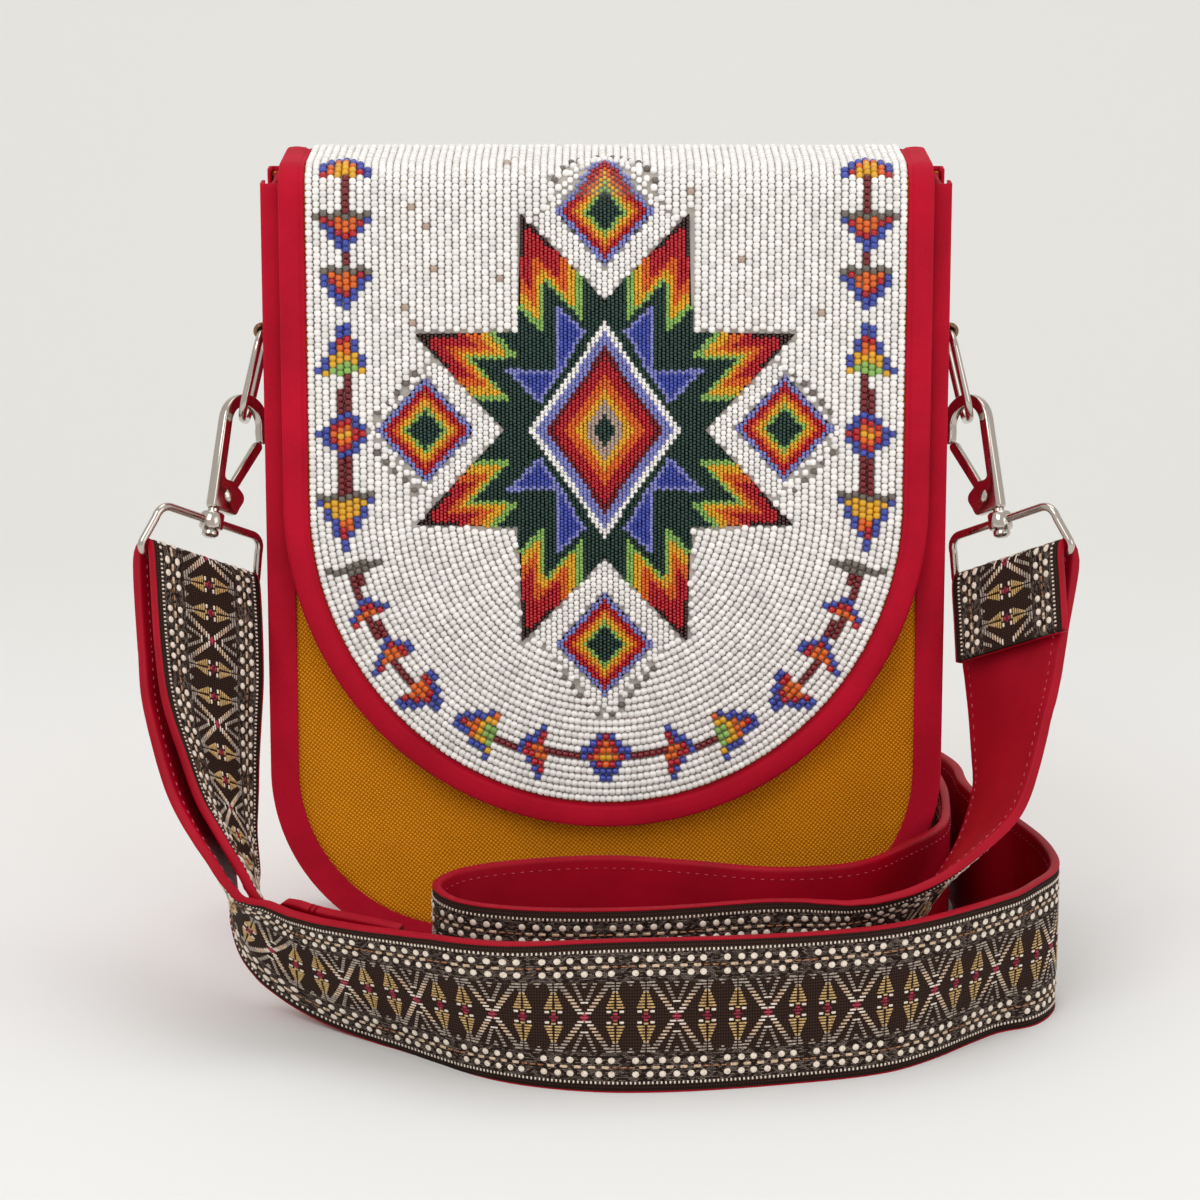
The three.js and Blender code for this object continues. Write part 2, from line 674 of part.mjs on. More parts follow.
function buildFlap() {
  addPiece('flap_backing', flapBacking(), 'canvas');
  addPiece('flap_binding', flapBinding(), 'redBias');
  const centre = flapHeightOf(STAR_CENTRE_Z);
  star(0, centre);
  const sideways = 2.1 * STAR_UNIT_X;
  const upwards = 2.2 * STAR_UNIT_Z;
  diamond('top', 0, centre + upwards);
  diamond('bottom', 0, centre - upwards);
  diamond('left', -sideways, centre);
  diamond('right', sideways, centre);
  arrowChain(-1, 'left');
  arrowChain(1, 'right');
  const cutter = motifGrounds.map(solidFrom).reduce((sum, next) => sum.add(next));
  const beads = [...beadSheet(), ...beadStrings()].map(solidFrom).reduce((sum, next) => sum.add(next));
  addPiece('bead_ground', geometryFrom(beads.subtract(cutter)), 'pearlBead');
}

// Hardware, in a group whose origin is where the post leaves the hook. side is 1 on the right
// and -1 on the left; local +X points away from the bag, and +Z up the post.

const POST_HOLE_RADIUS = POST_RADIUS + CLEARANCE;
const EYE_RADIUS = POST_HOLE_RADIUS + EYE_WALL;

function mirroredX(points, side) {
  return side > 0 ? points : points.map(([x, z]) => [-x, z]).reverse();
}

function plate(points, side, thickness, holes = []) {
  const shape = new THREE.Shape(mirroredX(points, side).map(([x, z]) => new THREE.Vector2(x, z)));
  for (const [x, z, radius] of holes) {
    const hole = new THREE.Path();
    hole.absarc(side * x, z, radius, 0, 2 * Math.PI, true);
    shape.holes.push(hole);
  }
  const options = { depth: thickness, bevelEnabled: false, curveSegments: 8 };
  const geometry = new THREE.ExtrudeGeometry(shape, options);
  geometry.translate(0, 0, -thickness / 2);
  geometry.rotateX(Math.PI / 2);
  return geometry;
}

const ARCH_RADIUS = HOOK_MOUTH_WIDTH / 2;
const ARCH_Z = HOOK_HEIGHT - ARCH_RADIUS - HOOK_BAR_WIDTH / 2;
const GATE_PIVOT = [-4.6, 5.2];
const GATE_TIP = [-HOOK_MOUTH_WIDTH + 0.6, ARCH_Z - 3.6];

function arc(centre, radius, from, to, steps) {
  return Array.from({ length: steps + 1 }, (_, i) => {
    const angle = ((from + ((to - from) * i) / steps) * Math.PI) / 180;
    return [centre[0] + radius * Math.cos(angle), centre[1] + radius * Math.sin(angle)];
  });
}

// The die-cast frame: base, outer leg, arch and the nose that the gate closes on
function hookFrame(side) {
  const half = HOOK_BAR_WIDTH / 2;
  const centre = [-ARCH_RADIUS, ARCH_Z];
  const outline = [
    [half + 0.3, 1],
    ...arc(centre, ARCH_RADIUS + half, 0, 180, 10),
    [-HOOK_MOUTH_WIDTH - half, ARCH_Z - 2.6],
    [-HOOK_MOUTH_WIDTH + half - 0.8, ARCH_Z - 2.6],
    ...arc(centre, ARCH_RADIUS - half, 180, 0, 10),
    [-half, HOOK_BASE_HEIGHT],
    [-half - 4.1, HOOK_BASE_HEIGHT],
    [-9.4, 6.4],
    [-8.2, 1.2],
    [-7.2, 0],
    [half - 0.6, 0],
  ];
  const holes = [[GATE_PIVOT[0], GATE_PIVOT[1], RIVET_RADIUS + CLEARANCE]];
  const body = plate(outline, side, HOOK_THICKNESS, holes);
  return cut(body, [gateSlot(side)]);
}

// The slot in the base leaves room for the gate's foot at both ends of its travel
function gateSlot(side) {
  const width = GATE_THICKNESS + 2 * CLEARANCE;
  const slot = [[-1.2, 1.9], [-1.2, 8.6], [-2.2, 9.2], [-2.2, 14], [-24, 34], [-24, 1.9]];
  const cutter = plate(slot, side, width);
  return cutter;
}

function gate(side) {
  const [px, pz] = GATE_PIVOT;
  const [tx, tz] = GATE_TIP;
  const length = Math.hypot(tx - px, tz - pz);
  const [dx, dz] = [(tx - px) / length, (tz - pz) / length];
  const half = GATE_WIDTH / 2;
  const foot = RIVET_RADIUS + CLEARANCE + 1;
  const along = ([u, v]) => [px + u * dx - v * dz, pz + u * dz + v * dx];
  const outline = [
    [0, -foot], [foot * 0.7, -foot * 0.9], [foot * 1.6, -half], [length - 0.6, -half], [length, -half * 0.4],
    [length, half * 0.4], [length - 0.6, half], [foot * 1.6, half], [foot * 0.7, foot * 0.9], [0, foot],
    [-foot * 0.7, foot * 0.7], [-foot * 0.95, 0], [-foot * 0.7, -foot * 0.7],
  ].map(along);
  return plate(outline, side, GATE_THICKNESS, [[px, pz, RIVET_RADIUS + CLEARANCE]]);
}

function rivet(side) {
  const reach = HOOK_THICKNESS / 2 + CLEARANCE;
  const profile = [
    [0, -reach - 0.5],
    [RIVET_RADIUS + 0.7, -reach - 0.5],
    [RIVET_RADIUS + 0.9, -reach],
    [RIVET_RADIUS, -reach],
    [RIVET_RADIUS, reach], [RIVET_RADIUS + 0.9, reach], [RIVET_RADIUS + 0.7, reach + 0.5], [0, reach + 0.5],
  ];
  const geometry = new THREE.LatheGeometry(profile.map(([r, y]) => new THREE.Vector2(r, y)), 12);
  geometry.translate(side * GATE_PIVOT[0], 0, 0);
  geometry.translate(0, 0, GATE_PIVOT[1]);
  return geometry;
}

// The swivel post hangs from the hook's base, passes the loop's eye and ends in a head
function swivelPost() {
  const low = -EYE_GAP - EYE_HEIGHT - CLEARANCE;
  const profile = [
    [0, low - POST_HEAD_HEIGHT],
    [POST_HEAD_RADIUS - 0.6, low - POST_HEAD_HEIGHT],
    [POST_HEAD_RADIUS, low - POST_HEAD_HEIGHT / 2],
    [POST_HEAD_RADIUS, low],
    [POST_RADIUS, low],
    [POST_RADIUS, -CLEARANCE],
    [0, -CLEARANCE],
  ];
  const geometry = new THREE.LatheGeometry(profile.map(([r, y]) => new THREE.Vector2(r, y)), 12);
  geometry.rotateX(Math.PI / 2);
  return geometry;
}

const LOOP_BAR_Z = -EYE_GAP - EYE_HEIGHT / 2;

function roundedLoop(width, height, radius, topWidth = width, topRadius = radius) {
  const [w, h, r, tw, tr] = [width / 2, height / 2, radius, topWidth / 2, topRadius];
  const corners = [
    [w - r, -h + r, r, -90],
    [tw - tr, h - tr, tr, 0],
    [-tw + tr, h - tr, tr, 90],
    [-w + r, -h + r, r, 180],
  ];
  const points = [];
  for (const [cx, cz, cr, from] of corners) {
    for (const [x, z] of arc([cx, cz], cr, from, from + 90, 3)) points.push(new THREE.Vector3(x, 0, z));
  }
  return points;
}

function closedWire(points, diameter) {
  const radius = diameter / 2;
  const sides = 8;
  const count = points.length;
  const middle = points.reduce((sum, p) => sum.add(p), new THREE.Vector3()).divideScalar(count);
  const vertices = [];
  const triangles = [];
  points.forEach((p, i) => {
    const before = points[(i + count - 1) % count];
    const after = points[(i + 1) % count];
    const along = after.clone().sub(before).normalize();
    const side = new THREE.Vector3(0, 1, 0);
    const out = new THREE.Vector3().crossVectors(along, side).normalize();
    if (out.dot(p.clone().sub(middle)) < 0) out.negate();
    const turn = p.clone().sub(before).normalize().dot(after.clone().sub(p).normalize());
    const stretch = 1 / Math.sqrt((1 + turn) / 2);
    for (let j = 0; j < sides; j += 1) {
      const angle = (j / sides) * 2 * Math.PI;
      const offset = out.clone().multiplyScalar(radius * Math.cos(angle) * stretch);
      vertices.push(p.clone().add(offset).addScaledVector(side, radius * Math.sin(angle)));
    }
  });
  for (let i = 0; i < count; i += 1) {
    for (let j = 0; j < sides; j += 1) {
      const k = (j + 1) % sides;
      const n = (i + 1) % count;
      triangles.push([i * sides + j, i * sides + k, n * sides + k], [i * sides + j, n * sides + k, n * sides + j]);
    }
  }
  return geometryOf(vertices, triangles);
}

// The strap loop: a rounded wire frame, tilted back, with the post's eye in its upper bar
function strapLoop() {
  const path = roundedLoop(LOOP_WIDTH, LOOP_HEIGHT, LOOP_CORNER_RADIUS, LOOP_TOP_WIDTH, LOOP_TOP_RADIUS);
  const frame = closedWire(path, LOOP_WIRE);
  frame.translate(0, 0, -LOOP_HEIGHT / 2);
  frame.rotateX((LOOP_TILT * Math.PI) / 180);
  frame.translate(0, 0, LOOP_BAR_Z);
  const eye = new THREE.CylinderGeometry(EYE_RADIUS, EYE_RADIUS, EYE_HEIGHT, 14);
  eye.rotateX(Math.PI / 2);
  eye.translate(0, 0, LOOP_BAR_Z);
  const hole = new THREE.CylinderGeometry(POST_HOLE_RADIUS, POST_HOLE_RADIUS, 3 * EYE_HEIGHT, 14);
  hole.rotateX(Math.PI / 2);
  hole.translate(0, 0, LOOP_BAR_Z);
  return cut(join([frame, eye]), [hole]);
}

function hangGroup(side, place, turn, tip, roll) {
  const group = new THREE.Group();
  const radians = Math.PI / 180;
  group.position.set(side * place[0], place[1], place[2]);
  group.rotation.set(-tip * radians, -side * roll * radians, -side * turn * radians, 'ZXY');
  bag.add(group);
  group.updateMatrixWorld(true);
  return group;
}

function buildHook(side, label) {
  const group = hangGroup(side, POST_PLACE, HOOK_TURN, HOOK_TIP, HOOK_ROLL);
  addPiece(`hook_frame_${label}`, hookFrame(side), 'nickel', group);
  addPiece(`gate_${label}`, gate(side), 'nickel', group);
  addPiece(`gate_rivet_${label}`, rivet(side), 'darkNickel', group);
  addPiece(`swivel_post_${label}`, swivelPost(), 'nickel', group);
  addPiece(`strap_loop_${label}`, strapLoop(), 'nickel', group);
  return group;
}

// The ring hangs in its tab: local origin at the middle of its upper bar
const RING_TOP_X = BODY_WIDTH / 2 - GUSSET_INSET + TAB_THICKNESS + 2 * CLEARANCE + RING_WIRE / 2;

function buildRing(side, label) {
  const group = hangGroup(side, [RING_TOP_X, 0, RING_TOP_Z], 0, RING_TIP, RING_LEAN);
  const link = closedWire(roundedLoop(RING_INNER_WIDTH + RING_WIRE, RING_HEIGHT, RING_CORNER_RADIUS), RING_WIRE);
  link.translate(0, 0, -RING_HEIGHT / 2);
  link.rotateZ(Math.PI / 2);
  addPiece(`ring_${label}`, link, 'nickel', group);
}

// A woven tab, sewn to the gusset at both ends and looped round the ring's upper bar
function buildTab(side, label) {
  const face = BODY_WIDTH / 2 - GUSSET_INSET + CLEARANCE;
  const t = TAB_THICKNESS;
  const inner = RING_WIRE / 2 + CLEARANCE;
  const centre = [RING_TOP_X, RING_TOP_Z];
  const outer = arc(centre, inner + t, -90, 90, 6);
  const innerArc = arc(centre, inner, 90, -90, 6);
  const section = [
    [face, RING_TOP_Z - inner - t],
    ...outer,
    [face + t, RING_TOP_Z + inner + t],
    [face + t, RING_TOP_Z + inner + TAB_SEWN_LENGTH],
    [face, RING_TOP_Z + inner + TAB_SEWN_LENGTH],
    [face, RING_TOP_Z - inner],
  ];
  const solid = loft([-TAB_WIDTH / 2, TAB_WIDTH / 2], section, (y, x, z) => new THREE.Vector3(side * x, y, z));
  const hole = [...innerArc, [face + t, RING_TOP_Z - inner], [face + t, RING_TOP_Z + inner]];
  const bore = loft([-TAB_WIDTH, TAB_WIDTH], hole, (y, x, z) => new THREE.Vector3(side * x, y, z));
  const tab = cut(solid, [bore]);
  tab.translate(0, 0, -RING_TOP_Z);
  tab.rotateX((-RING_TIP * Math.PI) / 180);
  tab.translate(0, 0, RING_TOP_Z);
  addPiece(`side_tab_${label}`, tab, 'tabWeave');
}

// The strap: a patterned webbing with a cloth lining on its back, standing on edge round the bag.
// A station is the middle of the width, the direction w of its upper edge, and how far off it lies.

const STRAP_DEPTH = WEBBING_THICKNESS + CLEARANCE + LINING_THICKNESS;
const UPRIGHT_Z = STRAP_WIDTH / 2 + 0.1;

// The way down from the right loop, with the upper edge's direction at each place
const RIGHT_FALL = [
  [121.3, -39.5, 102.8, 0.59, -0.68, 0.43],
  [120.2, -49.3, 82.3, 0.44, -0.76, 0.49],
  [118.4, -58.4, 69.6, 0.34, -0.8, 0.52],
  [112.5, -68.2, 55.2, 0.31, -0.81, 0.5],
  [102.3, -76.6, 44.9, 0.28, -0.76, 0.58],
  [86.5, -87.8, 31.6, 0.15, -0.6, 0.786],
  [68.4, -96.3, 23.4, 0.05, -0.3, 0.95],
];

// The hand-laid route over the table, seen from above
const TABLE_ROUTE = [
  [45, -103], [10, -110], [-22, -110], [-42, -103], [-49, -89], [-42, -76], [-20, -67], [3, -64.5], [25, -69],
  [50, -75], [74, -70], [90, -52], [101.5, -34], [104.6, -14], [104.8, 12], [100.5, 31],
  [84, 40], [52, 40], [30, 41], [15, 51], [27, 63], [52, 66], [80, 62], [102, 47],
  [110.5, 28], [112, 9], [116, -8], [124.7, -29], [131, -52],
  [131.5, -73], [125, -86],
];

// The band across the front and the way up to the left loop
const LEFT_RISE = [
  [113.7, -96, 22.1, -0.03, -0.2, 0.98],
  [83, -122, 22.1, 0, -0.04, 1],
  [54.3, -131.2, 22.1, 0, 0, 1],
  [3.8, -137.3, 22.1, 0, 0.05, 1],
  [-29.8, -134, 22, 0, -0.18, 0.98],
  [-58.7, -115.7, 21, 0.02, -0.4, 0.92],
  [-88.1, -97, 23, 0.05, -0.55, 0.83],
  [-103, -90, 31.8, -0.1, -0.55, 0.83],
  [-110.6, -84.8, 43.9, -0.2, -0.62, 0.75],
  [-117.4, -75.2, 58.4, -0.3, -0.72, 0.62],
  [-120.5, -65, 71.8, -0.42, -0.75, 0.51],
  [-122, -54.2, 84.8, -0.55, -0.72, 0.42],
  [-122.4, -44.5, 98.4, -0.62, -0.68, 0.39],
];

function leaning([x, y, z, wx, wy, wz]) {
  return { p: new THREE.Vector3(x, y, z), w: new THREE.Vector3(wx, wy, wz).normalize() };
}

function upright([x, y]) {
  return { p: new THREE.Vector3(x, y, UPRIGHT_Z), w: new THREE.Vector3(0, 0, 1) };
}

// Adds the normal towards the lining at each station, and brings w square to the path
function framed(stations) {
  return stations.map(({ p, w }, i) => {
    const before = stations[Math.max(0, i - 1)].p;
    const after = stations[Math.min(stations.length - 1, i + 1)].p;
    const along = after.clone().sub(before).normalize();
    const n = new THREE.Vector3().crossVectors(along, w).normalize();
    return { p, w, n, along };
  });
}

// Over the loop's lower bar: from the side away from the lining to the side it faces
function foldOver(bar, w, down, n) {
  const radius = LOOP_WIRE / 2 + CLEARANCE + STRAP_DEPTH / 2;
  return [0, 45, 90, 135, 180].map((degrees) => {
    const angle = (degrees * Math.PI) / 180;
    const p = bar.clone().addScaledVector(n, -radius * Math.cos(angle));
    p.addScaledVector(down, -radius * Math.sin(angle));
    return { p, w };
  });
}

function smooth(stations, steps) {
  const centre = new THREE.CatmullRomCurve3(stations.map(({ p }) => p), false, 'centripetal');
  const edge = new THREE.CatmullRomCurve3(
    stations.map(({ p, w }) => p.clone().addScaledVector(w, STRAP_WIDTH / 2)),
    false,
    'centripetal',
  );
  const count = (stations.length - 1) * steps;
  return Array.from({ length: count + 1 }, (_, i) => {
    const p = centre.getPoint(i / count);
    return { p, w: edge.getPoint(i / count).sub(p).normalize() };
  });
}

function barOf(group) {
  const tilt = (LOOP_TILT * Math.PI) / 180;
  const bar = new THREE.Vector3(0, LOOP_HEIGHT * Math.sin(tilt), LOOP_BAR_Z - LOOP_HEIGHT * Math.cos(tilt));
  return group.localToWorld(bar);
}

const TAB_LENGTH = 24;
const TAIL_SPREAD = 6.4;

function strapStations(leftGroup, rightGroup) {
  const [leftBar, rightBar] = [barOf(leftGroup), barOf(rightGroup)];
  const out = (group, side) => new THREE.Vector3(side, 0, 0).transformDirection(group.matrixWorld);
  const [leftW, rightW] = [out(leftGroup, -1), out(rightGroup, 1)];
  const fall = RIGHT_FALL.map(leaning);
  const rise = LEFT_RISE.map(leaning);
  const down = (bar, first, w) => {
    const d = first.p.clone().sub(bar);
    return d.addScaledVector(w, -d.dot(w)).normalize();
  };
  const rightDown = down(rightBar, fall[0], rightW);
  const leftDown = down(leftBar, rise[rise.length - 1], leftW);
  const rightN = new THREE.Vector3().crossVectors(rightDown, rightW).normalize();
  const leftN = new THREE.Vector3().crossVectors(leftDown, leftW).normalize().negate();
  const rightFold = foldOver(rightBar, rightW, rightDown, rightN).reverse();
  const leftFold = foldOver(leftBar, leftW, leftDown, leftN);
  const tabEnd = rightFold[0].p.clone().addScaledVector(rightDown, TAB_LENGTH).addScaledVector(rightN, 2.4);
  const tab = [{ p: tabEnd, w: rightW }, { p: tabEnd.clone().lerp(rightFold[0].p, 0.5), w: rightW }];
  const route = smooth([...fall, ...TABLE_ROUTE.map(upright), ...rise], STRAP_STEPS);
  const sewnBack = framed(rise).slice(-8).reverse();
  const tail = sewnBack.map(({ p, w, n }) => ({ p: p.clone().addScaledVector(n, TAIL_SPREAD), w }));
  return [...tab, ...rightFold, ...route, ...leftFold, ...tail];
}

// The two layers are lofted along the same stations, at their own depths
function strapLayer(stations, from, to, half) {
  const section = [[-half, from], [half, from], [half, to], [-half, to]];
  return loft(framed(stations), section, ({ p, w, n }, across, depth) => (
    p.clone().addScaledVector(w, across).addScaledVector(n, depth)
  ));
}

function buildStrap(leftGroup, rightGroup) {
  const stations = strapStations(leftGroup, rightGroup);
  const face = -STRAP_DEPTH / 2;
  const back = STRAP_DEPTH / 2;
  const half = STRAP_WIDTH / 2;
  addPiece('strap_webbing', strapLayer(stations, face, face + WEBBING_THICKNESS, half), 'jacquard');
  addPiece('strap_lining', strapLayer(stations, back - LINING_THICKNESS, back, half - 0.4), 'redCloth');
}

buildPouch();
buildFlap();
const hookGroups = {};
for (const [side, label] of [[-1, 'left'], [1, 'right']]) {
  buildTab(side, label);
  buildRing(side, label);
  hookGroups[label] = buildHook(side, label);
}
buildStrap(hookGroups.left, hookGroups.right);

export default bag;
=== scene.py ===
"""Dresses a beaded crossbody bag for rendering: seed beads, bias bindings, canvas, strap and hooks.

Shapes are worked out in millimetres with numpy and become metres when a mesh is made.
"""

import math

import bpy
import numpy as np
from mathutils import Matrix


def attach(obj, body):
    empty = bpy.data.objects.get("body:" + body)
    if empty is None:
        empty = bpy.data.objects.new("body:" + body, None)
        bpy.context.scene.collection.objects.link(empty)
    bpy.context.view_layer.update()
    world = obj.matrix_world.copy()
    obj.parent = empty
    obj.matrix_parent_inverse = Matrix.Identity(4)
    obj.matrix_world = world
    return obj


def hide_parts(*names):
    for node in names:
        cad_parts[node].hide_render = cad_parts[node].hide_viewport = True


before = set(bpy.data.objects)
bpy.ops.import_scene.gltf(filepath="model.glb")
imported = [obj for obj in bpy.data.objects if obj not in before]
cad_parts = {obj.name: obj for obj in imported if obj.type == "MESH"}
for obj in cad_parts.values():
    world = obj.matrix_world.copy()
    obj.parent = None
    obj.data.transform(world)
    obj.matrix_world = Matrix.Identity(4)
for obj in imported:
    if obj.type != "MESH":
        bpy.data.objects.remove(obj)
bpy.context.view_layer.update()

bl_info = {
    "name": "Beaded Crossbody Bag",
    "version": (1, 0, 0),
    "blender": (4, 5, 0),
    "location": "3D View > Sidebar > Bag",
    "description": "Builds the beadwork, cloth, strap and hooks of a crossbody bag",
    "category": "Add Mesh",
}

MM = 0.001
RNG_SEED = 20

# Camera, in metres and degrees from looking straight down
CAMERA_PLACE = (-0.0018, -1.1866, 0.4235)
CAMERA_TURN = 75.0

# Pouch, in millimetres
BODY_WIDTH = 204.0
BODY_HEIGHT = 237.0
BODY_DEPTH_BOTTOM = 50.0
BODY_DEPTH_TOP = 32.0
BODY_CORNER_RADIUS = 58.0
PANEL_THICKNESS = 2.2
FACE_BINDING_WIDTH = 8.6
SIDE_BINDING_WIDTH = 6.0
BINDING_THICKNESS = 1.1
CLEARANCE = 0.3
PANEL_INSET = BINDING_THICKNESS + CLEARANCE
GUSSET_INSET = PANEL_INSET + CLEARANCE
PANEL_TOP = BODY_HEIGHT - BINDING_THICKNESS - CLEARANCE
MOUTH_HEM_WIDTH = 8.0

# Flap, in millimetres
FLAP_WIDTH = 193.0
FLAP_BOTTOM_Z = 42.0
FLAP_ROUND_DROP = 100.0
FLAP_THICKNESS = 1.6
FLAP_BINDING_WIDTH = 7.8
FOLD_RADIUS = 6.0
FLAP_STANDOFF = 2 * (BINDING_THICKNESS + CLEARANCE) + 1.6
FLAP_TOP_Z = BODY_HEIGHT + 1.6 + BINDING_THICKNESS + CLEARANCE
FLAP_TAIL = 24.0
FIELD_INSET = FLAP_BINDING_WIDTH + CLEARANCE
LEAN = math.atan((BODY_DEPTH_BOTTOM - BODY_DEPTH_TOP) / 2 / BODY_HEIGHT)

# Beadwork, in millimetres: x across the flap and s up from its round end
STAR_X = -0.4
STAR_S = 122.7
COLUMN_PITCH = 2.156
BEAD_PITCH = 1.9
NOTCH_PITCH = (1.68, 1.62)
FINE_PITCH = (1.16, 1.08)
THREAD_HEIGHT = 2.45
STAR_THREAD_HEIGHT = 2.66
BEAD_SEAT = FLAP_THICKNESS + CLEARANCE
TIP_LONG = (24.8, 64.6)
TIP_WIDE = (56.2, 28.8)
NOTCH_LONG = 38.8
NOTCH_WIDE = 29.8
CORNER = (25.7, 29.3)
SMALL_DIAMONDS = ((0.0, 65.2), (0.0, -65.3), (-53.2, 0.0), (53.4, 0.6))
DIAMOND_HALF = (14.6, 15.9)
CENTRE_HALF = (22.0, 31.7)

# Hardware, in millimetres and degrees
RING_WIRE = 2.4
RING_WIDTH = 20.8
RING_HEIGHT = 26.8
RING_CORNER = 4.5
RING_TOP = (103.2, 0.0, 189.0)
RING_LEAN = 12.9
RING_TIP = 15.7
TAB_WIDTH = 14.0
TAB_THICKNESS = 1.1
TAB_SEWN = 14.0
HOOK_PLACE = (117.2, -26.0, 140.6)
HOOK_TURN = 51.0
HOOK_TIP = 12.5
HOOK_ROLL = 24.8
HOOK_THICKNESS = 3.4
HOOK_BAR = 3.7
HOOK_MOUTH = 15.5
HOOK_HEIGHT = 37.5
GATE_PIVOT = (-4.6, 5.2)
GATE_WIDTH = 3.2
GATE_THICKNESS = 1.6
EYE_HEIGHT = 5.0
EYE_GAP = 1.2
LOOP_WIRE = 2.5
LOOP_WIDTH = 47.6
LOOP_TOP_WIDTH = 43.0
LOOP_HEIGHT = 15.0
LOOP_TILT = 13.0

# Strap, in millimetres
STRAP_WIDTH = 44.0
WEBBING_THICKNESS = 1.5
LINING_THICKNESS = 0.9
STRAP_DEPTH = WEBBING_THICKNESS + CLEARANCE + LINING_THICKNESS
UPRIGHT_Z = STRAP_WIDTH / 2 + 0.1
STRAP_REPEAT = 25.7
TAB_LENGTH = 24.0
TAIL_SPREAD = 6.4
TAIL_SHIFT = 3.5

RIGHT_FALL = (
    (121.3, -39.5, 102.8, 0.59, -0.68, 0.43),
    (120.2, -49.3, 82.3, 0.44, -0.76, 0.49),
    (118.4, -58.4, 69.6, 0.34, -0.8, 0.52),
    (112.5, -68.2, 55.2, 0.31, -0.81, 0.5),
    (102.3, -76.6, 44.9, 0.28, -0.76, 0.58),
    (86.5, -87.8, 31.6, 0.15, -0.6, 0.786),
    (68.4, -96.3, 23.4, 0.05, -0.3, 0.95),
)
TABLE_ROUTE = (
    (45, -103), (10, -110), (-22, -110), (-42, -103), (-49, -89), (-42, -76), (-20, -67), (3, -64.5),
    (25, -69), (50, -75), (74, -70), (90, -52), (101.5, -34), (104.6, -14), (104.8, 12), (100.5, 31),
    (84, 40), (52, 40), (30, 41), (15, 51), (27, 63), (52, 66), (80, 62), (102, 47), (110.5, 28),
    (112, 9), (116, -8), (124.7, -29), (131, -52), (131.5, -73), (125, -86),
)
LEFT_RISE = (
    (113.7, -96, 22.1, -0.03, -0.2, 0.98),
    (83, -122, 22.1, 0, -0.04, 1),
    (54.3, -131.2, 22.1, 0, 0, 1),
    (3.8, -137.3, 22.1, 0, 0.05, 1),
    (-29.8, -134, 22, 0, -0.18, 0.98),
    (-58.7, -115.7, 21, 0.02, -0.4, 0.92),
    (-88.1, -97, 23, 0.05, -0.55, 0.83),
    (-103, -90, 31.8, -0.1, -0.55, 0.83),
    (-110.6, -84.8, 43.9, -0.2, -0.62, 0.75),
    (-117.4, -75.2, 58.4, -0.3, -0.72, 0.62),
    (-120.5, -65, 71.8, -0.42, -0.75, 0.51),
    (-122, -54.2, 84.8, -0.55, -0.72, 0.42),
    (-122.4, -44.5, 98.4, -0.62, -0.68, 0.39),
)

BEAD_COLOURS = {
    "white": "#FAF7F3",
    "dark_green": "#16352C",
    "light_green": "#8DB95C",
    "yellow": "#E6AC22",
    "orange": "#E0661A",
    "red": "#B5101F",
    "dark_red": "#74101A",
    "maroon": "#32120F",
    "blue": "#3C4AA6",
    "periwinkle": "#8488C8",
    "tan": "#B7A090",
    "smoke": "#6E655C",
}


def linear(hex_colour):
    """The linear colour of an sRGB hex value, as Blender's sockets take it."""
    parts = [int(hex_colour[i:i + 2], 16) / 255 for i in (1, 3, 5)]
    low = [c / 12.92 if c <= 0.04045 else ((c + 0.055) / 1.055) ** 2.4 for c in parts]
    return (*low, 1.0)


def add_node(tree, kind, settings=None, inputs=None):
    """Adds a node, sets its options, and fills or links its inputs by name or number."""
    node = tree.nodes.new(kind)
    for key, value in (settings or {}).items():
        setattr(node, key, value)
    for key, value in (inputs or {}).items():
        socket = node.inputs[key]
        if isinstance(value, bpy.types.NodeSocket):
            tree.links.new(value, socket)
        else:
            socket.default_value = value
    return node


# Materials

def new_material(name, **shader):
    """A material with its Principled shader, the shader's values set by name."""
    material = bpy.data.materials.new(name)
    material.use_nodes = True
    tree = material.node_tree
    bsdf = tree.nodes["Principled BSDF"]
    for key, value in shader.items():
        bsdf.inputs[key.replace("_", " ")].default_value = value
    return material, tree, bsdf


def set_ramp(node, stops):
    """Sets a colour ramp's stops from (place, hex colour) pairs."""
    ramp = node.color_ramp
    while len(ramp.elements) < len(stops):
        ramp.elements.new(0.5)
    for element, (place, colour) in zip(ramp.elements, stops):
        element.position = place
        element.color = linear(colour)


def maths(tree, operation, *values):
    """The result of one sum on sockets or numbers, such as MULTIPLY or ABSOLUTE."""
    return add_node(tree, "ShaderNodeMath", {"operation": operation}, dict(enumerate(values))).outputs[0]


def woven_cells(tree, vector, pitch_a, pitch_b):
    """Two crossing sine waves, one along each of the first two coordinates, multiplied to thread crowns."""
    split = add_node(tree, "ShaderNodeSeparateXYZ", inputs={0: vector})
    waves = []
    for socket, pitch in ((split.outputs[0], pitch_a), (split.outputs[1], pitch_b)):
        waves.append(maths(tree, "SINE", maths(tree, "MULTIPLY", socket, math.pi / (pitch * MM))))
    return maths(tree, "ABSOLUTE", maths(tree, "MULTIPLY", *waves))


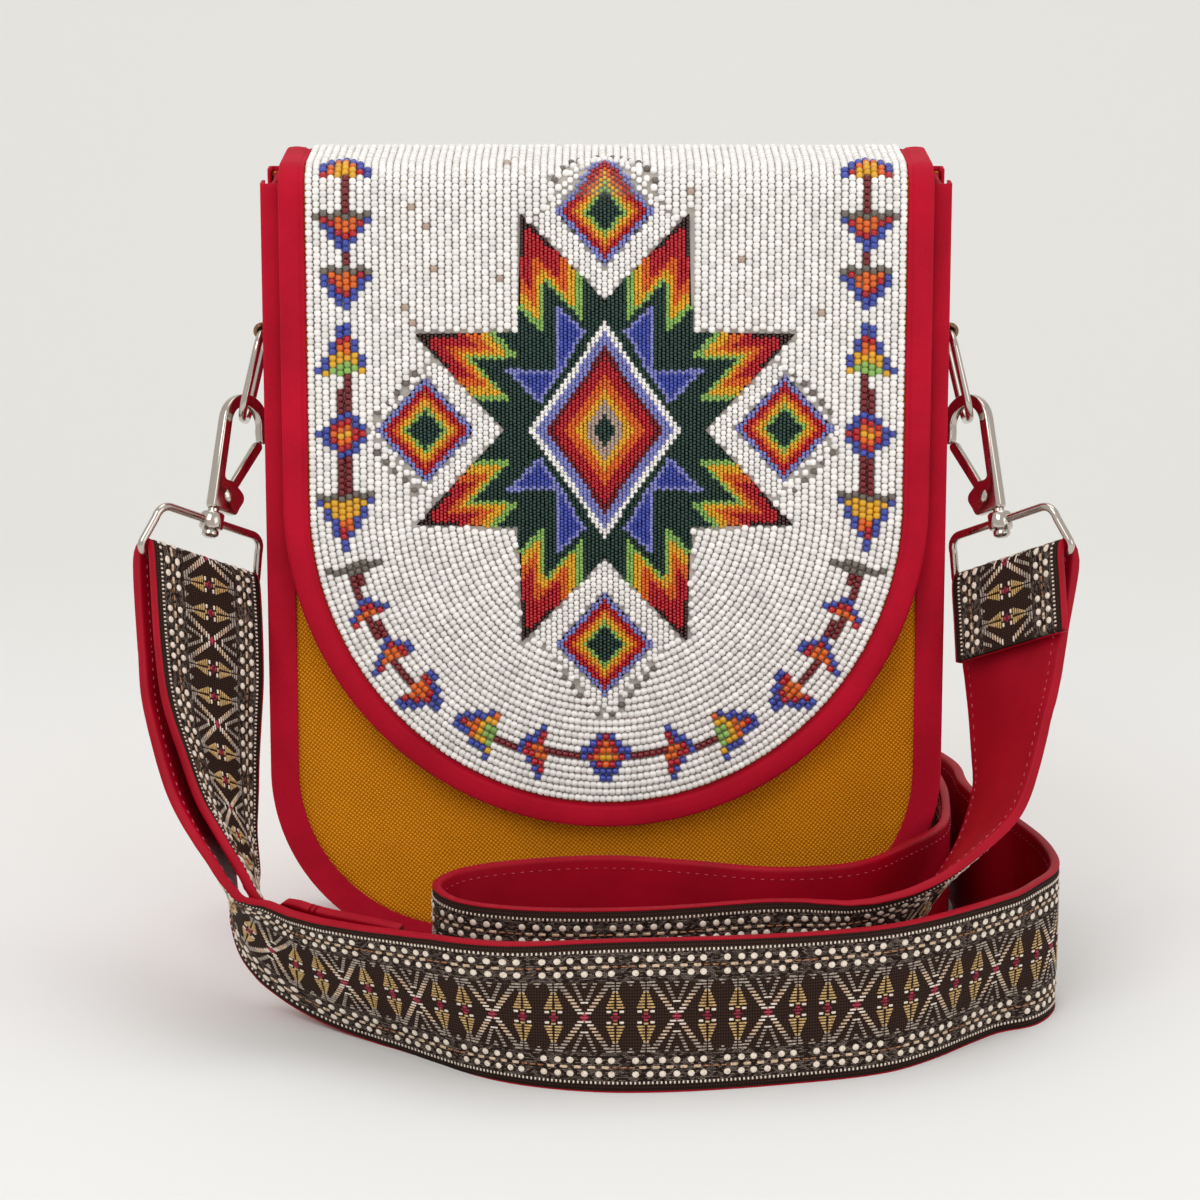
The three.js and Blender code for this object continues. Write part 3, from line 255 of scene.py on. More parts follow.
def canvas_material():
    """Ochre cotton canvas: 1.3 mm basket weave, painted highlights on the thread crowns over painted shade in
    the gaps, no sheen.
    """
    material, tree, bsdf = new_material("ochre_cotton_canvas", Roughness=0.88)
    bsdf.inputs["Specular IOR Level"].default_value = 0.12
    coords = add_node(tree, "ShaderNodeTexCoord")
    face = add_node(tree, "ShaderNodeSeparateXYZ", inputs={0: coords.outputs["Object"]})
    flat = add_node(tree, "ShaderNodeCombineXYZ", inputs={0: face.outputs[0], 1: face.outputs[2]})
    turned = add_node(tree, "ShaderNodeMapping", inputs={
        "Vector": flat.outputs[0], "Rotation": (0, 0, math.radians(38))})
    cells = woven_cells(tree, turned.outputs[0], 0.98, 0.98)
    # The weave's height picks the colour: painted shade in the gaps between threads, painted highlight on the
    # crowns.
    ramp = add_node(tree, "ShaderNodeValToRGB", inputs={0: cells})
    set_ramp(ramp, ((0.0, "#B86604"), (0.35, "#DE8606"), (0.8, "#FAA610"), (1.0, "#FFC450")))
    cloud = add_node(tree, "ShaderNodeTexNoise", inputs={
        "Vector": coords.outputs["Object"], "Scale": 28.0, "Detail": 4.0})
    cloud_tone = add_node(tree, "ShaderNodeMapRange", inputs={
        0: cloud.outputs[0], 1: 0.3, 2: 0.7, 3: 0.86, 4: 1.06})
    mix = add_node(tree, "ShaderNodeVectorMath", {"operation": "SCALE"}, {
        0: ramp.outputs[0], "Scale": cloud_tone.outputs[0]})
    bump = add_node(tree, "ShaderNodeBump", inputs={"Height": cells, "Strength": 0.6, "Distance": 0.0005})
    tree.links.new(mix.outputs[0], bsdf.inputs["Base Color"])
    tree.links.new(bump.outputs[0], bsdf.inputs["Normal"])
    return material


def cloth_material(name, dark, light, thread, roughness, sheen, strength=0.35):
    """Plain woven cloth or satin: fine threads, a soft mottle and a little sheen at glancing angles."""
    material, tree, bsdf = new_material(name, Roughness=roughness, Sheen_Weight=sheen, Sheen_Roughness=0.4)
    bsdf.inputs["Specular IOR Level"].default_value = 0.15
    bsdf.inputs["Sheen Tint"].default_value = linear(light)
    coords = add_node(tree, "ShaderNodeTexCoord")
    fine = add_node(tree, "ShaderNodeTexNoise", inputs={
        "Vector": coords.outputs["Object"], "Scale": 1.0 / (thread * MM), "Detail": 2.0})
    cloud = add_node(tree, "ShaderNodeTexNoise", inputs={
        "Vector": coords.outputs["Object"], "Scale": 45.0, "Detail": 3.0})
    both = add_node(tree, "ShaderNodeMath", {"operation": "MULTIPLY_ADD"}, {
        0: fine.outputs[0], 1: 0.35, 2: cloud.outputs[0]})
    ramp = add_node(tree, "ShaderNodeValToRGB", inputs={0: both.outputs[0]})
    set_ramp(ramp, ((0.35, dark), (0.95, light)))
    bump = add_node(tree, "ShaderNodeBump", inputs={
        "Height": fine.outputs[0], "Strength": strength, "Distance": 0.0003})
    tree.links.new(ramp.outputs[0], bsdf.inputs["Base Color"])
    tree.links.new(bump.outputs[0], bsdf.inputs["Normal"])
    return material


def bead_material(name, colour):
    """Opaque pressed glass: a dense glossy body, each bead a little lighter or darker than the next."""
    material, tree, bsdf = new_material(
        f"glass_bead_{name}", Roughness=0.22, Coat_Weight=0.25, Coat_Roughness=0.08)
    tone = add_node(tree, "ShaderNodeAttribute", {"attribute_name": "tone"})
    mix = add_node(tree, "ShaderNodeVectorMath", {"operation": "SCALE"}, {
        0: linear(colour)[:3], "Scale": tone.outputs["Fac"]})
    tree.links.new(mix.outputs[0], bsdf.inputs["Base Color"])
    return material


def webbing_material():
    """Jacquard webbing: dark brown warp with short grey weft flecks, thickest between the rows of dots."""
    material, tree, bsdf = new_material("jacquard_webbing_ground", Roughness=0.9)
    bsdf.inputs["Specular IOR Level"].default_value = 0.15
    uv = add_node(tree, "ShaderNodeUVMap", {"uv_map": "UVMap"})
    split = add_node(tree, "ShaderNodeSeparateXYZ", inputs={0: uv.outputs[0]})
    middle = STRAP_WIDTH / 2 * MM
    out = maths(tree, "ABSOLUTE", maths(tree, "SUBTRACT", split.outputs[1], middle))
    rows = add_node(tree, "ShaderNodeMapRange", inputs={0: out, 1: 0.0098, 2: 0.0108})
    edge = add_node(tree, "ShaderNodeMapRange", inputs={0: out, 1: 0.0190, 2: 0.0198, 3: 1.0, 4: 0.0})
    where = maths(tree, "MULTIPLY", rows.outputs[0], edge.outputs[0])
    flecks = add_node(tree, "ShaderNodeTexBrick", {"offset": 0.5}, {
        "Vector": uv.outputs[0], "Color1": linear("#2A1B15"), "Color2": linear("#94857A"),
        "Mortar": linear("#1C110D"),
        "Scale": 1.0, "Mortar Size": 0.00009, "Mortar Smooth": 0.3, "Bias": -0.25, "Brick Width": 0.00105,
        "Row Height": 0.00046})
    # The weave's height picks the ground's colour: painted shade in the gaps between threads, painted
    # highlight on the crowns.
    cells = woven_cells(tree, uv.outputs[0], 0.75, 0.9)
    ramp = add_node(tree, "ShaderNodeValToRGB", inputs={0: cells})
    set_ramp(ramp, ((0.0, "#1E120E"), (0.6, "#35231B"), (1.0, "#463028")))
    colours = {0: where, 6: ramp.outputs[0], 7: flecks.outputs[0]}
    mix = add_node(tree, "ShaderNodeMix", {"data_type": "RGBA"}, colours)
    bump = add_node(tree, "ShaderNodeBump", inputs={"Height": cells, "Strength": 0.5, "Distance": 0.0004})
    tree.links.new(mix.outputs[2], bsdf.inputs["Base Color"])
    tree.links.new(bump.outputs[0], bsdf.inputs["Normal"])
    return material


def thread_material(name, dark, light):
    """Cotton floats: matt yarn with a fine mottle between its dark and light colours."""
    material, tree, bsdf = new_material(f"cotton_yarn_{name}", Roughness=0.85)
    coords = add_node(tree, "ShaderNodeTexCoord")
    noise = add_node(tree, "ShaderNodeTexNoise", inputs={
        "Vector": coords.outputs["Object"], "Scale": 1400.0, "Detail": 2.0})
    ramp = add_node(tree, "ShaderNodeValToRGB", inputs={0: noise.outputs[0]})
    set_ramp(ramp, ((0.3, dark), (0.65, light)))
    tree.links.new(ramp.outputs[0], bsdf.inputs["Base Color"])
    return material


def nickel_material():
    """Polished nickel plate: warm, mirror bright, with faint wipe marks in the gloss."""
    material, tree, bsdf = new_material("polished_nickel", Metallic=1.0)
    bsdf.inputs["Base Color"].default_value = linear("#C4BBB2")
    coords = add_node(tree, "ShaderNodeTexCoord")
    noise = add_node(tree, "ShaderNodeTexNoise", inputs={
        "Vector": coords.outputs["Object"], "Scale": 180.0, "Detail": 3.0})
    gloss = add_node(tree, "ShaderNodeMapRange", inputs={
        0: noise.outputs[0], 1: 0.3, 2: 0.7, 3: 0.12, 4: 0.22})
    tree.links.new(gloss.outputs[0], bsdf.inputs["Roughness"])
    return material


def backdrop_material():
    """Matt studio paper: near white under the bag and painted a little greyer behind it, as painted shade
    where the light falls off; it keeps soft shadows.
    """
    material, tree, bsdf = new_material("studio_paper", Roughness=0.95)
    place = add_node(tree, "ShaderNodeTexCoord")
    split = add_node(tree, "ShaderNodeSeparateXYZ", inputs={0: place.outputs["Object"]})
    # Painted shade: the paper turns greyer from 0.12 m to 0.5 m back, where the lamps' light falls off.
    falloff_shade = add_node(tree, "ShaderNodeMapRange", {"interpolation_type": "SMOOTHSTEP"}, {
        0: split.outputs[1], 1: 0.12, 2: 0.5})
    ramp = add_node(tree, "ShaderNodeValToRGB", inputs={0: falloff_shade.outputs[0]})
    set_ramp(ramp, ((0.0, "#EEEEED"), (1.0, "#E3E3E0")))
    tree.links.new(ramp.outputs[0], bsdf.inputs["Base Color"])
    return material


MATERIALS = {}


def material(name):
    """Makes each material once, when a piece first asks for it."""
    if name in MATERIALS:
        return MATERIALS[name]
    if name.startswith("bead_"):
        made = bead_material(name[5:], BEAD_COLOURS[name[5:]])
    else:
        made = {
            "canvas": canvas_material,
            "bias": lambda: cloth_material("red_cotton_bias_tape", "#A60622", "#C80C2E", 0.35, 0.7, 0.14),
            "gusset": lambda: cloth_material("red_cotton_gusset", "#9E0620", "#BE0A2A", 0.4, 0.75, 0.05),
            "lining": lambda: cloth_material("red_satin_lining", "#8E0218", "#B00624", 0.2, 0.5, 0.05, 0.1),
            # The pale slab's grey is the thread's colour with painted shade between the white beads mixed in.
            "felt": lambda: cloth_material("bead_thread_felt", "#A8A29A", "#CCC6BE", 0.5, 0.9, 0.0),
            # The dark slabs' near black is dark thread with painted shade between the star's beads.
            "dark_thread": lambda: cloth_material("dark_bead_thread", "#100D0C", "#241D1A", 0.5, 0.9, 0.0),
            "webbing": webbing_material,
            "tab": lambda: thread_material("tab_brown", "#5A3A22", "#9A7A56"),
            "cream": lambda: thread_material("cream", "#D9C6B2", "#F6EADC"),
            "gold": lambda: thread_material("gold", "#A07A44", "#DDBB80"),
            "grey": lambda: thread_material("grey_beige", "#7A6A5E", "#C0B2A4"),
            "magenta": lambda: thread_material("magenta", "#7E1430", "#C04058"),
            "russet": lambda: thread_material("russet", "#7A3A20", "#C08A60"),
            "stitch": lambda: thread_material("pink_stitch", "#A82840", "#CC6070"),
            "beige": lambda: thread_material("beige", "#B08C6C", "#E8CFB4"),
            "nickel": nickel_material,
            "backdrop": backdrop_material,
        }[name]()
    MATERIALS[name] = made
    return made


# Meshes

def grid_faces(rows, columns, closed_rows=False, closed_columns=False):
    """The quads of a grid of points, joined to its first row or column where it is closed."""
    i = np.arange(rows if closed_rows else rows - 1)
    j = np.arange(columns if closed_columns else columns - 1)
    ii, jj = np.meshgrid(i, j, indexing="ij")
    down, right = (ii + 1) % rows, (jj + 1) % columns
    corners = (ii * columns + jj, ii * columns + right, down * columns + right, down * columns + jj)
    return np.stack(corners, -1).reshape(-1, 4)


def volume(points, faces):
    """Six times the volume is the sum over triangles of a corner dotted with the others' cross product."""
    total = 0.0
    for group in faces:
        for k in range(1, group.shape[1] - 1):
            cross = np.cross(points[group[:, k]], points[group[:, k + 1]])
            total += np.einsum("ij,ij->", points[group[:, 0]], cross)
    return total / 6


def add_piece(name, points, faces, finish, body="bag", replaces=(), uv=None, tone=None, sharp=None):
    """Makes a mesh of points in millimetres and groups of faces, turned outwards, and rides it on a body."""
    points = np.asarray(points, float).reshape(-1, 3)
    if volume(points, faces) < 0:
        faces = [group[:, ::-1] for group in faces]
    loops = np.concatenate([group.reshape(-1) for group in faces]).astype(np.int32)
    sizes = np.concatenate([np.full(len(group), group.shape[1]) for group in faces])
    starts = np.concatenate([[0], np.cumsum(sizes)[:-1]]).astype(np.int32)
    mesh = bpy.data.meshes.new(name)
    mesh.vertices.add(len(points))
    mesh.vertices.foreach_set("co", (points * MM).astype(np.float32).ravel())
    mesh.loops.add(len(loops))
    mesh.loops.foreach_set("vertex_index", loops)
    mesh.polygons.add(len(sizes))
    mesh.polygons.foreach_set("loop_start", starts)
    mesh.polygons.foreach_set("use_smooth", np.ones(len(sizes), bool))
    if uv is not None:
        layer = mesh.uv_layers.new(name="UVMap")
        corners = np.asarray(uv, float).reshape(-1, 2)[loops] * MM
        layer.data.foreach_set("uv", corners.astype(np.float32).ravel())
    if tone is not None:
        attribute = mesh.attributes.new("tone", "FLOAT", "POINT")
        attribute.data.foreach_set("value", np.asarray(tone, np.float32))
    mesh.update(calc_edges=True)
    mesh.validate()
    if sharp:
        mesh.set_sharp_from_angle(angle=math.radians(sharp))
    piece = bpy.data.objects.new(name, mesh)
    bpy.context.scene.collection.objects.link(piece)
    mesh.materials.append(material(finish))
    if body is None:
        return piece
    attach(piece, body)
    if replaces:
        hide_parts(*replaces)
    return piece


def swept(points, closed_path=False):
    """Faces of a closed section carried along a path, with flat ends where the path is open."""
    rows, columns = points.shape[:2]
    faces = [grid_faces(rows, columns, closed_path, True)]
    if not closed_path:
        first = np.arange(columns)[::-1]
        last = (rows - 1) * columns + np.arange(columns)
        faces.append(np.stack([first, last]))
    return faces


def joined(parts):
    """Several (points, faces) parts as one, with each part's faces counted on from the last."""
    points, groups, start = [], {}, 0
    for part, faces in parts:
        part = np.asarray(part, float).reshape(-1, 3)
        if volume(part, faces) < 0:
            faces = [group[:, ::-1] for group in faces]
        for group in faces:
            groups.setdefault(group.shape[1], []).append(group + start)
        points.append(part)
        start += len(part)
    return np.concatenate(points), [np.concatenate(group) for group in groups.values()]


def even(points, count, closed=False):
    """Resamples a polyline at even distances along it."""
    points = np.asarray(points, float)
    if closed:
        points = np.vstack([points, points[:1]])
    steps = np.linalg.norm(np.diff(points, axis=0), axis=1)
    along = np.concatenate([[0], np.cumsum(steps)])
    at = np.linspace(0, along[-1], count, endpoint=not closed)
    return np.stack([np.interp(at, along, points[:, k]) for k in range(points.shape[1])], -1)


def arc(centre, radius, start, end, steps):
    """Points of a flat arc from one angle in degrees to another."""
    angles = np.radians(np.linspace(start, end, steps + 1))
    return np.stack([centre[0] + radius * np.cos(angles), centre[1] + radius * np.sin(angles)], -1)


def unit(vectors):
    return vectors / np.maximum(np.linalg.norm(vectors, axis=-1, keepdims=True), 1e-9)


def tube(path, radius, up, sides=20, closed=False):
    """A round wire: at each point of the path, a circle square to it; up is any vector off the path."""
    path = np.asarray(path, float)
    if closed:
        along = unit(np.roll(path, -1, 0) - np.roll(path, 1, 0))
    else:
        along = unit(np.gradient(path, axis=0))
    side = unit(np.cross(along, np.broadcast_to(up, path.shape)))
    top = np.cross(side, along)
    angles = np.linspace(0, 2 * math.pi, sides, endpoint=False)
    radii = np.broadcast_to(radius, (len(path),))[:, None, None]
    ring = np.cos(angles)[None, :, None] * side[:, None] + np.sin(angles)[None, :, None] * top[:, None]
    points = path[:, None] + radii * ring
    return points, swept(points, closed)


def plate(outline, thickness, bevel, steps=3):
    """A flat outline in x and z given a thickness in y, with rounded edges of the bevel's radius."""
    outline = np.asarray(outline, float)
    edges = np.roll(outline, -1, 0) - outline
    normal = unit(np.stack([edges[:, 1], -edges[:, 0]], -1))
    if np.sum(outline[:, 0] * np.roll(outline[:, 1], -1) - np.roll(outline[:, 0], -1) * outline[:, 1]) < 0:
        normal = -normal
    corner = unit(normal + np.roll(normal, 1, 0))
    angles = np.linspace(0, math.pi / 2, steps + 1)
    rings = [(-thickness / 2 + bevel - bevel * math.cos(a), bevel - bevel * math.sin(a)) for a in angles]
    rings += [(-y, inset) for y, inset in rings[::-1]]
    points = []
    for y, inset in rings:
        ring = outline - corner * inset
        points.append(np.stack([ring[:, 0], np.full(len(ring), y), ring[:, 1]], -1))
    points = np.stack(points)
    return points, swept(points)


def lathe(profile, sides=28):
    """A profile of (radius, height) pairs turned about the upright axis, with closed ends."""
    profile = np.asarray(profile, float)
    angles = np.linspace(0, 2 * math.pi, sides, endpoint=False)
    radius = np.maximum(profile[:, 0], 0.02)[:, None]
    height = np.broadcast_to(profile[:, 1][:, None], (len(profile), sides))
    points = np.stack([radius * np.cos(angles), radius * np.sin(angles), height], -1)
    return points, swept(points)


# The pouch

def half_depth(z):
    return (BODY_DEPTH_BOTTOM + (BODY_DEPTH_TOP - BODY_DEPTH_BOTTOM) * z / BODY_HEIGHT) / 2


def body_outline(count, top=BODY_HEIGHT):
    """Down the left side, round the base and up the right: x, z and the inward normal at even steps."""
    half, radius = BODY_WIDTH / 2, BODY_CORNER_RADIUS
    left = arc((-half + radius, radius), radius, 180, 270, 40)
    right = arc((half - radius, radius), radius, 270, 360, 40)
    line = even(np.vstack([[(-half, top)], left, right, [(half, top)]]), count)
    along = unit(np.gradient(line, axis=0))
    return line, np.stack([-along[:, 1], along[:, 0]], -1)


def rounded_section(corners, radius, steps=3):
    """A closed section whose corners are replaced by short arcs through the corner's two sides."""
    corners = np.asarray(corners, float)
    points = []
    for i, corner in enumerate(corners):
        before, after = corners[i - 1], corners[(i + 1) % len(corners)]
        a, b = before - corner, after - corner
        reach = min(radius, 0.45 * np.linalg.norm(a), 0.45 * np.linalg.norm(b))
        start, end = corner + unit(a) * reach, corner + unit(b) * reach
        for t in np.linspace(0, 1, steps + 1):
            points.append((1 - t) ** 2 * start + 2 * t * (1 - t) * corner + t * t * end)
    return np.array(points)


def ripple(count, length, pitch, depth):
    """The small gathers between stitches: a sine of the distance along, at the stitches' pitch."""
    along = np.linspace(0, length, count)
    slow = 0.6 * np.sin(along / 23.0) + 0.4 * np.sin(along / 9.1 + 1.3)
    return depth * (np.sin(2 * math.pi * along / pitch) * 0.5 + slow * 0.5)


def build_panels():
    """Each canvas face fills the seam's outline; the front one is slack by a fraction of a millimetre."""
    for side, name in ((-1, "front"), (1, "back")):
        rows, columns = 90, 80
        z = np.linspace(PANEL_INSET, PANEL_TOP, rows)
        drop = np.clip(BODY_CORNER_RADIUS - z, 0, BODY_CORNER_RADIUS - PANEL_INSET)
        radius = BODY_CORNER_RADIUS - PANEL_INSET
        half = BODY_WIDTH / 2 - BODY_CORNER_RADIUS + np.sqrt(np.maximum(radius ** 2 - drop ** 2, 0.01))
        t = np.linspace(-1, 1, columns)
        x = half[:, None] * t[None]
        zz = np.broadcast_to(z[:, None], x.shape)
        slack = 0.5 * np.sin(x / 31 + zz / 47) * (1 - t[None] ** 2)
        slack = slack + 0.25 * np.sin(x / 12 - zz / 15) * (1 - t[None] ** 2)
        layers = []
        for depth in (0.0, -PANEL_THICKNESS):
            y = side * (half_depth(zz) + depth + slack)
            layers.append(np.stack([x, y, zz], -1))
        outer, inner = layers
        ring = np.concatenate([outer, inner[:, ::-1]], 1)
        add_piece(f"canvas_{name}", ring, swept(ring), "canvas", replaces=(f"{name}_panel",))


def build_gusset():
    """The side strip is a flat band along the outline, drawn in a little between its two seams."""
    line, inward = body_outline(220, PANEL_TOP)
    across = np.linspace(-1, 1, 15)
    half = half_depth(line[:, 1]) - PANEL_THICKNESS - CLEARANCE
    sag = 0.9 * (1 - across ** 2)[None] + ripple(220, 520, 41, 0.5)[:, None] * (1 - across ** 2)[None]
    layers = []
    for extra in (0.0, 1.8):
        inset = GUSSET_INSET + extra + np.maximum(sag, 0)
        x = line[:, 0, None] + inward[:, 0, None] * inset
        z = line[:, 1, None] + inward[:, 1, None] * inset
        layers.append(np.stack([x, half[:, None] * across[None], z], -1))
    ring = np.concatenate([layers[0], layers[1][:, ::-1]], 1)
    add_piece("gusset_cloth", ring, swept(ring), "gusset", replaces=("gusset",))


def build_body_bindings():
    """A folded tape over each seam: an L section with soft corners, carried along the outline."""
    line, inward = body_outline(460)
    t, w, c = BINDING_THICKNESS, FACE_BINDING_WIDTH, CLEARANCE
    section = rounded_section([
        (0, c + t), (w * 0.5, c + t + 0.15), (w, c + t * 0.7), (w, c), (t, c), (t, -SIDE_BINDING_WIDTH),
        (0, -SIDE_BINDING_WIDTH),
    ], 0.8)
    wave = ripple(460, 560, 3.2, 0.1)
    for side, name in ((-1, "front"), (1, "back")):
        inset, outward = section[:, 0][None], section[:, 1][None]
        swell = np.where(outward > c + 0.3, wave[:, None], 0.0)
        x = line[:, 0, None] + inward[:, 0, None] * inset
        z = line[:, 1, None] + inward[:, 1, None] * inset
        y = side * (half_depth(z) + outward + swell)
        points = np.stack([x, y, z], -1)
        add_piece(f"bias_{name}_seam", points, swept(points), "bias", replaces=(f"{name}_binding",))


def build_mouth_hem():
    """The tape over the front panel's top edge: a U section carried straight across."""
    half = BODY_WIDTH / 2 - FACE_BINDING_WIDTH - CLEARANCE
    t, c, low = BINDING_THICKNESS, CLEARANCE, BODY_HEIGHT - MOUTH_HEM_WIDTH
    inner = -PANEL_THICKNESS - c
    section = rounded_section([
        (c + t, low), (c + t, BODY_HEIGHT), (inner - t, BODY_HEIGHT), (inner - t, low), (inner, low),
        (inner, PANEL_TOP + c), (c, PANEL_TOP + c), (c, low),
    ], 0.6)
    x = np.linspace(-half, half, 90)[:, None]
    z = np.broadcast_to(section[:, 1][None], (90, len(section)))
    y = -(half_depth(z) + section[:, 0][None])
    points = np.stack([np.broadcast_to(x, z.shape), y, z], -1)
    add_piece("mouth_tape", points, swept(points), "bias", replaces=("mouth_hem",))


# The flap

def flap_profile():
    """The flap's inside from its round end: up the leaning front, over two round folds and down the back."""
    def front_y(z):
        return -half_depth(z) - FLAP_STANDOFF
    fold_z = FLAP_TOP_Z - FOLD_RADIUS * (1 - math.sin(LEAN))
    turn = math.pi / 2 - LEAN
    rows = [(front_y(z), z, LEAN) for z in np.linspace(FLAP_BOTTOM_Z, fold_z, 60)]
    centre = (front_y(fold_z) + FOLD_RADIUS * math.cos(LEAN), FLAP_TOP_Z - FOLD_RADIUS)
    for angle in LEAN + np.linspace(0.02, 1, 16) * turn:
        across, up = FOLD_RADIUS * math.cos(angle), FOLD_RADIUS * math.sin(angle)
        rows.append((centre[0] - across, centre[1] + up, angle))
    back_y = half_depth(FLAP_TOP_Z - FOLD_RADIUS) + FLAP_STANDOFF - FOLD_RADIUS
    for angle in math.pi / 2 + np.linspace(0, 1, 16) * turn:
        across, up = FOLD_RADIUS * math.cos(angle), FOLD_RADIUS * math.sin(angle)
        rows.append((back_y - across, centre[1] + up, angle))
    y, z, angle = rows[-1]
    for step in np.linspace(0.1, 1, 8) * FLAP_TAIL:
        rows.append((y + step * math.sin(LEAN), z - step * math.cos(LEAN), angle))
    rows = np.array(rows)
    s = np.concatenate([[0], np.cumsum(np.linalg.norm(np.diff(rows[:, :2], axis=0), axis=1))])
    return s, rows


PROFILE_S, PROFILE = flap_profile()
S_END = PROFILE_S[-1]
S_BEADS = PROFILE_S[60 + 16 + 3]


def flap_frame(s):
    """Where the flap's inside is at s, with its outward normal and its upward tangent."""
    y, z, angle = (np.interp(s, PROFILE_S, PROFILE[:, k]) for k in range(3))
    zero = np.zeros_like(y)
    place = np.stack([zero, y, z], -1)
    normal = np.stack([zero, -np.cos(angle), np.sin(angle)], -1)
    tangent = np.stack([zero, np.sin(angle), np.cos(angle)], -1)
    return place, normal, tangent


def flap_point(x, s, h):
    """The point at x across, s up the flap and h off its inside."""
    x, s, h = np.broadcast_arrays(x, s, h)
    place, normal, _ = flap_frame(s)
    place = place + normal * h[..., None]
    place[..., 0] += x
    return place


def flap_outline(inset, end, spacing=None, count=None, phase=0.0, height=0.0):
    """A nested U at an inset from the flap's edge: x, s and direction at steps that are even at a height."""
    half, drop = FLAP_WIDTH / 2 - inset, FLAP_ROUND_DROP - inset
    angles = np.radians(np.linspace(180, 360, 181))
    round_end = np.stack([half * np.cos(angles), FLAP_ROUND_DROP + drop * np.sin(angles)], -1)
    sides = np.linspace(end, FLAP_ROUND_DROP, 260)[:-1]
    left = np.stack([np.full(len(sides), -half), sides], -1)
    right = np.stack([np.full(len(sides), half), sides[::-1]], -1)
    line = np.vstack([left, round_end, right])
    solid = flap_point(line[:, 0], line[:, 1], np.full(len(line), height))
    along = np.concatenate([[0], np.cumsum(np.linalg.norm(np.diff(solid, axis=0), axis=1))])
    if spacing:
        count = max(2, int(along[-1] / spacing))
        gap = along[-1] / count
        at = (np.arange(count) + 0.5 + phase) * gap
        at = at[at < along[-1] - 0.3 * gap]
    else:
        at = np.linspace(0, along[-1], count)
    x, s = np.interp(at, along, line[:, 0]), np.interp(at, along, line[:, 1])
    ahead = np.stack([np.interp(at + 0.4, along, line[:, 0]), np.interp(at + 0.4, along, line[:, 1])], -1)
    behind = np.stack([np.interp(at - 0.4, along, line[:, 0]), np.interp(at - 0.4, along, line[:, 1])], -1)
    return x, s, unit(ahead - behind)


def build_flap_cloth():
    """The cloth under the beads: a thin slab whose width follows the round end, then the straight sides."""
    inset = PANEL_INSET
    half, drop = FLAP_WIDTH / 2 - inset, FLAP_ROUND_DROP - inset
    low = FLAP_ROUND_DROP - drop * np.cos(np.linspace(0.02, math.pi / 2, 40))
    s = np.concatenate([low, np.linspace(FLAP_ROUND_DROP + 2, S_END, 110)])
    width = half * np.sqrt(np.clip(1 - (np.clip(FLAP_ROUND_DROP - s, 0, drop) / drop) ** 2, 1e-4, 1))
    t = np.linspace(-1, 1, 61)
    x = width[:, None] * t[None]
    grid_s = np.broadcast_to(s[:, None], x.shape)
    layers = [flap_point(x, grid_s, h) for h in (0.0, FLAP_THICKNESS)]
    ring = np.concatenate([layers[0], layers[1][:, ::-1]], 1)
    add_piece("flap_cloth", ring, swept(ring), "canvas", replaces=("flap_backing",))


def build_flap_binding():
    """The bias tape round the flap: a soft U section carried along the outline, fuller in its middle."""
    count = 520
    x, s, along = flap_outline(0.0, S_END, count=count)
    inward = np.stack([-along[:, 1], along[:, 0]], -1)
    t, w, c, f = BINDING_THICKNESS, FLAP_BINDING_WIDTH, CLEARANCE, FLAP_THICKNESS
    section = rounded_section([
        (0, -c - t), (w, -c - t), (w, -c), (t, -c), (t, f + c), (w, f + c), (w, f + c + t * 0.75),
        (w * 0.86, f + c + t * 0.45), (w * 0.76, f + c + t), (w * 0.4, f + c + t + 0.35), (0.2, f + c + t),
    ], 1.0)
    across, height = section[:, 0][None], section[:, 1][None]
    swell = np.where(height > f + c + 0.3, ripple(count, 640, 3.4, 0.09)[:, None], 0.0)
    xx = x[:, None] + inward[:, 0, None] * across
    ss = s[:, None] + inward[:, 1, None] * across
    points = flap_point(xx, ss, height + swell)
    add_piece("bias_flap_edge", points, swept(points), "bias", replaces=("flap_binding",))


# Beadwork: every bead has a place on the flap and a colour worked out from where it lies

def in_quarter(x, s):
    """The star's own coordinates: distances from its centre, across and up."""
    return np.abs(x - STAR_X), np.abs(s - STAR_S)


def inside_convex(u, v, corners, margin=0.0):
    """True where a point is on the inner side of every edge of a polygon, by more than the margin."""
    corners = np.asarray(corners, float)
    ahead = np.roll(corners, -1, 0)
    turn = np.sign(np.sum(corners[:, 0] * ahead[:, 1] - ahead[:, 0] * corners[:, 1]))
    result = np.ones(np.shape(u), bool)
    for (ax, ay), (bx, by) in zip(corners, ahead):
        side = turn * ((bx - ax) * (v - ay) - (by - ay) * (u - ax)) / math.hypot(bx - ax, by - ay)
        result &= side > margin
    return result


LONG_POINT = ((0, 0), CORNER, TIP_LONG, (0, NOTCH_LONG))
WIDE_POINT = ((0, 0), (NOTCH_WIDE, 0), TIP_WIDE, CORNER)
LONG_BLUE = ((13.9, 36.9), (6.1, 29.7), (13.7, 16.5))
WIDE_BLUE = ((29.0, 18.2), (13.7, 17.5), (19.2, 8.3))


